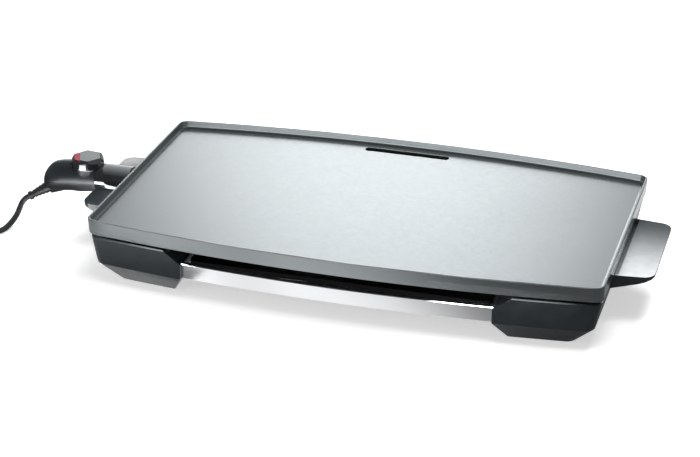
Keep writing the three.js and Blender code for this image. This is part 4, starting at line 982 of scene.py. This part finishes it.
# Sections of the grip: distance from the plate's middle, height, half width and half height.
GRIP_STATIONS = [
    (SEAM_X + SEAT_GAP, AXIS_HEIGHT, 18, 18),
    (370, AXIS_HEIGHT - 1.4, 19.5, 20),
    (385, AXIS_HEIGHT - 2.5, 19.5, 19.2),
    (397, AXIS_HEIGHT - 4, 19.3, 19.3),
    (405, AXIS_HEIGHT - 5.5, 18.2, 18.8),
    (412, AXIS_HEIGHT - 8.2, 16, 16.8),
    (GRIP_REAR - 5, AXIS_HEIGHT - 11, 12, 13),
    (GRIP_REAR - 1.6, AXIS_HEIGHT - 12.4, 6.5, 7.5),
    (GRIP_REAR, AXIS_HEIGHT - 12.4, 1.8, 1.8),
]


def grip_ring(x, centre, half_width, half_height, sides=56):
    angles = [2 * math.pi * k / sides for k in range(sides)]
    return [(-x, half_width * math.cos(a), centre + half_height * math.sin(a)) for a in angles]


def grip_form(inset):
    """The grip's outer form, or with an inset its hollow, which starts before the seam."""
    kept = [s for s in GRIP_STATIONS if s[3] > 2 * inset]
    flat = smooth_path([Vector(station[:3]) for station in kept], 4)
    tall = smooth_path([Vector((station[0], station[3], 0)) for station in kept], 4)
    rings = [grip_ring(a.x, a.y, a.z - inset, b.y - inset) for a, b in zip(flat, tall)]
    if inset:
        rings.insert(0, grip_ring(SEAM_X - 1, AXIS_HEIGHT, GRIP_RADIUS - inset, GRIP_RADIUS - inset))
    return loft("grip", rings)


def spout(bore):
    if bore:
        profile = [(0, -7), (8.4, -7), (8.4, SEAT_GAP), (7.1, SEAT_GAP), (7.1, RELIEF_LENGTH),
                   (0, RELIEF_LENGTH)]
    else:
        profile = [(0, -6), (13, -6), (9, SPOUT_LENGTH), (0, SPOUT_LENGTH)]
    return turned(profile, RELIEF_START, RELIEF_END, 40)


def at_knob(radius, low, high):
    return rod("z", radius, low, high, AT_KNOB, segments=64)


def shell(half):
    upper = half == "upper"
    wide = (-GRIP_REAR, GRIP_REAR)
    plinth = shared(at_knob(PLINTH_RADIUS, PLINTH_FOOT, PLINTH_TOP),
                    block((-GRIP_REAR, -SEAM_X), wide, (0, ABOVE)))
    piece = cut(joined(grip_form(0), plinth, spout(False)), grip_form(GRIP_WALL),
                at_knob(PLINTH_RADIUS - GRIP_WALL, SPLIT, PLINTH_TOP - GRIP_WALL))
    columns = [shared(grip_form(GRIP_WALL / 2), column)
               for column in upright_pair(SHELL_COLUMN_RADIUS, 0, RIM_TOP, SHELL_SCREW)]
    tools = [at_knob(KNOB_RADIUS + RUNNING_GAP, PLINTH_TOP, ABOVE),
             at_knob(SPINDLE_BORE, SPLIT, RIM_TOP), spout(True)]
    screw_x, screw_y = SHELL_SCREW
    for d in (-1, 1):
        tools.append(rod("z", SCREW_PILOT, 0, SPLIT + 10, (screw_x, d * screw_y, 0)))
        tools.append(rod("z", SHELL_HEAD_RADIUS, 0, SPLIT - 12, (screw_x, d * screw_y, 0)))
    piece = cut(joined(piece, *columns), *tools)
    levels = (SPLIT + SEAT_GAP / 2, ABOVE) if upper else (0, SPLIT - SEAT_GAP / 2)
    piece = shared(piece, block((-2 * GRIP_REAR, 0), wide, levels))
    if upper:
        apron = cut(at_knob(PLINTH_RADIUS, PLINTH_FOOT, PLINTH_TOP),
                    at_knob(PLINTH_RADIUS - GRIP_WALL, SPLIT, PLINTH_TOP - GRIP_WALL),
                    at_knob(SPINDLE_BORE, SPLIT, RIM_TOP))
        apron = shared(apron, block((-SEAM_X - 1, 0), wide, (PLINTH_TOP - 5.8, RIM_TOP)))
        piece = joined(piece, apron)
    else:
        seat = rod("x", COLLAR_RADIUS + SEAT_GAP, -SEAM_X, -COLLAR_FRONT, ON_AXIS, segments=64)
        piece = cut(piece, seat)
    return stand_in(bevelled(piece, 0.3), f"grip_{half}_half", f"thermostat_{half}_shell")


def collar():
    inner, spigot = COLLAR_RADIUS - 2, GRIP_RADIUS - GRIP_WALL - SEAT_GAP
    front, length = -COLLAR_FRONT, SEAM_X - COLLAR_FRONT
    profile = [(COLLAR_RADIUS, 0), (COLLAR_RADIUS, length - 1.2),
               (COLLAR_RADIUS - 0.35, length - 0.35), (COLLAR_RADIUS - 1.2, length)]
    tube = turned(profile, (-SEAM_X, 0, AXIS_HEIGHT), (0, 0, AXIS_HEIGHT), 72)
    neck = rod("x", spigot, -SEAM_X - 7, -SEAM_X + 1, ON_AXIS, segments=64)
    piece = cut(joined(tube, neck), rod("x", inner, -SEAM_X + 2, front + 1, ON_AXIS, segments=64),
                rod("x", spigot - 1.6, -SEAM_X - 8, -SEAM_X + 3, ON_AXIS, segments=64),
                at_knob(PLINTH_RADIUS + SEAT_GAP, PLINTH_FOOT - SEAT_GAP, ABOVE),
                at_knob(KNOB_RADIUS + RUNNING_GAP, PLINTH_TOP, ABOVE))
    return stand_in(bevelled(piece, 0.3), "gloss_collar", "thermostat_collar")


def knob_corners(apothem):
    reach = apothem / math.cos(math.pi / 6)
    angles = [math.radians(KNOB_TURN - 30 + 60 * k) for k in range(6)]
    return [(-KNOB_X + reach * math.cos(a), reach * math.sin(a)) for a in angles]


def knob_form():
    profile = [(KNOB_RADIUS - 1, 0), (KNOB_RADIUS - 0.3, 0.3), (KNOB_RADIUS, 1),
               (KNOB_RADIUS, KNOB_TOP - KNOB_BOTTOM)]
    drum = turned(profile, (-KNOB_X, 0, KNOB_BOTTOM), (-KNOB_X, 0, ABOVE), 96)
    wide = KNOB_RADIUS + 2 * KNOB_BEVEL
    shoulder = KNOB_TOP - KNOB_BEVEL - (wide - KNOB_RADIUS) * 0.95
    levels = [(wide, KNOB_BOTTOM - 1), (wide, shoulder), (KNOB_FLAT, KNOB_TOP),
              (KNOB_FLAT, KNOB_TOP + 1)]
    facets = loft("facets", [[(x, y, z) for x, y in knob_corners(r)] for r, z in levels])
    return shared(drum, facets)


def window_form(gap):
    reach = LENS_RADIUS + gap
    half = math.acos((LENS_INNER - gap) / reach)
    middle = math.radians(KNOB_TURN + 180)
    angles = [middle + half * (k / 12 - 1) for k in range(25)]
    corners = [(-KNOB_X + reach * math.cos(a), reach * math.sin(a)) for a in angles]
    return prism("xy", corners, KNOB_TOP - KNOB_BEVEL - 1.5 - gap, KNOB_TOP + 1)


def disc_form(gap, low, high):
    return prism("xy", [(x, y, 3) for x, y in knob_corners(KNOB_FLAT - 0.7 + gap)], low, high, 6)


def knob():
    base = KNOB_TOP - 0.8
    body = cut(knob_form(), window_form(SEAT_GAP), disc_form(SEAT_GAP, base, KNOB_TOP + 1),
               at_knob(SPINDLE_RADIUS + SEAT_GAP, KNOB_BOTTOM - 1, KNOB_TOP - 4 + SEAT_GAP))
    stand_in(bevelled(body, 0.45, 3), "gloss_knob", "control_knob")
    window = shared(knob_form(), window_form(0))
    stand_in(bevelled(window, 0.2), "red_window", "knob_lens")
    disc = cut(disc_form(0, base + SEAT_GAP, KNOB_TOP), window_form(SEAT_GAP))
    stand_in(bevelled(disc, 0.25), "knob_disc", "knob_cap")


shell("upper")
shell("lower")
collar()
knob()


# The rest of the CAD nodes, with softened edges or as they are

for soft_node in ("drip_tray", "heat_shield", "tray_runner_left", "tray_runner_right",
                  "terminal_guard", "socket_nose", "switch_block"):
    softened(soft_node, 0.3)
for node_name, node_object in frame["nodes"].items():
    node_object.data.materials.clear()
    node_object.data.materials.append(FINISHES[SLOT_OF[node_name]])


# Floor, backdrop and light

FLOOR_HALF = 6.0
FLOOR_HEIGHT = -0.0003
FLOOR_GREY = 0.8
FLOOR_GLOW = 0.55
# Metal sees a table whose brightness changes along a slanting line, in metres and levels.
TABLE_SLANT = (1, -0.66, 0)
TABLE_PEAK = 2.6
TABLE_SPAN = (-0.6, 0.6)
TABLE_LEVELS = [
    (-0.6, 0.15), (-0.3, 0.2), (-0.2, 0.5), (-0.12, 1.25), (-0.02, 1.22), (0.06, 0.95), (0.13, 1.1),
    (0.21, 1.0), (0.275, 0.75), (0.315, 0.52), (0.385, 0.23), (0.6, 0.14),
]
TABLE_FRONT = (-0.45, -0.32)
TABLE_FRONT_LEVEL = 0.2
SKY_BASE = 0.3
AMBIENT = 0.2
# Lighter and darker parts of the mirrored sky: azimuth, elevation, outer and inner radius, level.
SKY_PATCHES = [
    (-15.4, 21.5, 9.3, 0, 2.85), (-31, 6, 13, 4, 2.5), (198, 18, 30, 16, 1.5), (212, 55, 34, 16, -0.2),
]
LOW_LIGHT_TOP = math.sin(math.radians(21.5))
LOW_LIGHT_REACH = 0.65
TABLE = 0.0005
KNOB_LIGHT_CENTRE = (-0.329, -0.019)
KNOB_LIGHT_RADII = (0.178, 0.142)


def add_sheet(name, corners):
    """Adds a flat stage object with a material of its own."""
    mesh = bpy.data.meshes.new(name)
    mesh.from_pydata(corners, [], [tuple(range(len(corners)))])
    sheet = bpy.data.objects.new(name, mesh)
    scene.collection.objects.link(sheet)
    material = new_material(name)
    mesh.materials.append(material)
    return sheet, material.node_tree


def cover(tree, factor, first, second):
    """Gives a sheet a mix of two shaders as its surface."""
    mix = add_node(tree, "MixShader", {0: factor, 1: first.outputs[0], 2: second.outputs[0]})
    tree.links.new(mix.outputs[0], tree.nodes["Material Output"].inputs["Surface"])


def table_level(tree):
    """The table as metal sees it, bright on the left and darker past the right foot and in front."""
    place = coordinates(tree)
    across = add_node(tree, "VectorMath", {0: place, 1: TABLE_SLANT}, operation="DOT_PRODUCT")
    ramp = add_node(tree, "FloatCurve", {"Value": ranged(tree, across.outputs["Value"], TABLE_SPAN)})
    curve = ramp.mapping.curves[0]
    low, high = TABLE_SPAN
    stops = [((at - low) / (high - low), level / TABLE_PEAK) for at, level in TABLE_LEVELS]
    curve.points[0].location, curve.points[-1].location = stops[0], stops[-1]
    for stop in stops[1:-1]:
        curve.points.new(*stop)
    ramp.mapping.update()
    levels = (TABLE_FRONT_LEVEL * TABLE_PEAK, TABLE_PEAK)
    peak = ranged(tree, separated(tree, place)["Y"], TABLE_FRONT, levels)
    return calculated(tree, "MULTIPLY", ramp.outputs["Value"], peak)


def add_floor():
    half = FLOOR_HALF
    corners = [(-half, -half), (half, -half), (half, half), (-half, half)]
    tree = add_sheet("floor", [(x, y, FLOOR_HEIGHT) for x, y in corners])[1]
    paper = tree.nodes["Principled BSDF"]
    paper.inputs["Base Color"].default_value = (FLOOR_GREY, FLOOR_GREY, FLOOR_GREY, 1)
    paper.inputs["Roughness"].default_value = 0.9
    paper.inputs["Specular IOR Level"].default_value = 0.0
    rays = add_node(tree, "LightPath", {}).outputs
    seen_glow = calculated(tree, "MULTIPLY", rays["Is Camera Ray"], FLOOR_GLOW)
    glow = add_node(tree, "Emission", {"Strength": seen_glow})
    seen = add_node(tree, "AddShader", {0: paper.outputs[0], 1: glow.outputs[0]})
    cover(tree, rays["Is Glossy Ray"], seen, add_node(tree, "Emission", {"Strength": table_level(tree)}))


def mirrored_sky(tree):
    """An even sky with its patches; the first one is a tall patch that stands on the horizon."""
    direction = coordinates(tree, "Generated")
    parts = separated(tree, direction)
    height = parts["Z"]
    for operation, value in (("SUBTRACT", LOW_LIGHT_TOP), ("MAXIMUM", 0.0),
                             ("MULTIPLY", LOW_LIGHT_REACH), ("ADD", LOW_LIGHT_TOP)):
        height = calculated(tree, operation, height, value)
    lowered = add_node(tree, "CombineXYZ", {"X": parts["X"], "Y": parts["Y"], "Z": height})
    unit = add_node(tree, "VectorMath", {0: lowered.outputs[0]}, operation="NORMALIZE")
    directions = [unit.outputs[0]] + [direction] * (len(SKY_PATCHES) - 1)
    total = SKY_BASE
    for looked, (azimuth, elevation, outer, inner, level) in zip(directions, SKY_PATCHES):
        turn, rise = math.radians(azimuth), math.radians(elevation)
        aim = (math.cos(rise) * math.sin(turn), math.cos(rise) * math.cos(turn), math.sin(rise))
        nearness = add_node(tree, "VectorMath", {0: looked, 1: aim}, operation="DOT_PRODUCT")
        edges = (math.cos(math.radians(outer)), math.cos(math.radians(inner)))
        patch = ranged(tree, nearness.outputs["Value"], edges, (0, level), "SMOOTHSTEP")
        total = calculated(tree, "ADD", total, patch)
    return total


def add_world():
    """White for the camera, the mirrored sky for glossy surfaces and a weak light for the rest."""
    world = bpy.data.worlds.new("studio")
    scene.world = world
    world.use_nodes = True
    tree = world.node_tree
    rays = add_node(tree, "LightPath", {}).outputs
    inputs = {"Factor": rays["Is Glossy Ray"], "A": AMBIENT, "B": mirrored_sky(tree)}
    lit = add_node(tree, "Mix", inputs).outputs["Result"]
    seen = add_node(tree, "Mix", {"Factor": rays["Is Camera Ray"], "A": lit, "B": 1.0})
    background = tree.nodes["Background"].inputs
    background["Color"].default_value = (1, 1, 1, 1)
    tree.links.new(seen.outputs["Result"], background["Strength"])


def add_softbox(name, place, target, size, power):
    data = bpy.data.lights.new(name, "AREA")
    data.shape = "RECTANGLE"
    data.size, data.size_y = size
    data.energy = power
    lamp = bpy.data.objects.new(name, data)
    scene.collection.objects.link(lamp)
    lamp.location = place
    lamp.rotation_mode = "QUATERNION"
    lamp.rotation_quaternion = (Vector(target) - Vector(place)).to_track_quat("-Z", "Y")
    lamp.visible_glossy = False


def add_card(name, corners, strength, fade=None):
    """A card that only mirrored rays see, and only from its front.

    With a fade, its strength goes from one value to another between the two depths.
    """
    card, tree = add_sheet(name, corners)
    for sight in ("camera", "diffuse", "transmission", "volume_scatter", "shadow"):
        setattr(card, f"visible_{sight}", False)
    if fade:
        depth = separated(tree, coordinates(tree))["Y"]
        strength = ranged(tree, depth, fade, strength, "SMOOTHSTEP")
    behind = add_node(tree, "NewGeometry", {}).outputs["Backfacing"]
    glow = add_node(tree, "Emission", {"Strength": strength})
    cover(tree, behind, glow, add_node(tree, "BsdfTransparent", {}))


def above(height, x, y):
    """The corners of a level rectangle that glows downwards."""
    return [(x[0], y[0], height), (x[0], y[1], height), (x[1], y[1], height), (x[1], y[0], height)]


def on_table(*corners):
    """The corners of a card on the table that glows upwards."""
    return [(x, y, TABLE) for x, y in corners]


def standing(start, end, z):
    """The corners of an upright rectangle that glows to the right of its way from start to end."""
    return [(*start, z[0]), (*end, z[0]), (*end, z[1]), (*start, z[1])]


def knob_light():
    """A part of a ring on the table, which the round side of the knob mirrors."""
    x, y = KNOB_LIGHT_CENTRE
    outer, inner = KNOB_LIGHT_RADII
    turns = [math.radians(215 + 8 * k) for k in range(9)]
    ring = [(outer, turn) for turn in turns] + [(inner, turn) for turn in reversed(turns)]
    return on_table(*[(x + r * math.cos(turn), y + r * math.sin(turn)) for r, turn in ring])


add_floor()
add_world()

# Cards for the light reflections in the photo, on the handle and lobes, the feet and the thermostat.
add_card("card_right", above(0.076, (0.335, 0.4), (-0.07, 0.15)), (12.5, 0.35), (-0.06, 0.115))
add_card("card_left", above(0.085, (-0.385, -0.295), (0.09, 0.165)), 6)
add_card("card_left_foot", above(0.07, (-0.31, -0.15), (-0.215, -0.165)), 14)
add_card("card_right_foot", above(0.07, (0.15, 0.31), (-0.215, -0.165)), 14)
add_card("card_collar", above(0.0795, (-0.301, -0.266), (-0.022, 0.06)), (0.3, 2.2), (-0.02, 0.004))
add_card("card_under_collar", on_table((-0.346, -0.15), (-0.26, -0.15), (-0.26, 0.1), (-0.28, 0.1)), 12)
add_card("card_under_grip",
         on_table((-0.42, -0.17), (-0.351, -0.17), (-0.327, -0.078), (-0.42, -0.078)), 13)
add_card("card_knob", knob_light(), 15)

# Darker cards, which keep that light and the table's from faces that are dark in the photo.
add_card("card_foot", on_table((-0.15, -0.238), (-0.15, -0.155), (-0.3, -0.155), (-0.3, -0.238)), 0.2)
add_card("card_dark", standing((-0.31, -0.2), (-0.55, -0.2), (0.001, 0.3)), 0.08)
add_card("card_corner", standing((-0.278, -0.2), (-0.278, -0.09), (0.002, 0.079)), 0.4)
add_card("card_lobe", standing((-0.36, -0.105), (-0.3, -0.045), (0.02, 0.056)), 0.3)
add_card("card_shield", standing((-0.14, -0.155), (-0.14, -0.115), (0.02, 0.05)), 0.02)

add_softbox("softbox_rear", (0.5, 1.9, 1.6), (0, 0, 0.05), (0.8, 0.6), 84)
add_softbox("softbox_left", (-0.95, -1.0, 0.35), (-0.2, -0.15, 0.05), (0.6, 0.45), 4)
add_softbox("softbox_top", (0.4, -0.3, 2.2), (0, 0, 0.05), (1.2, 0.8), 26)
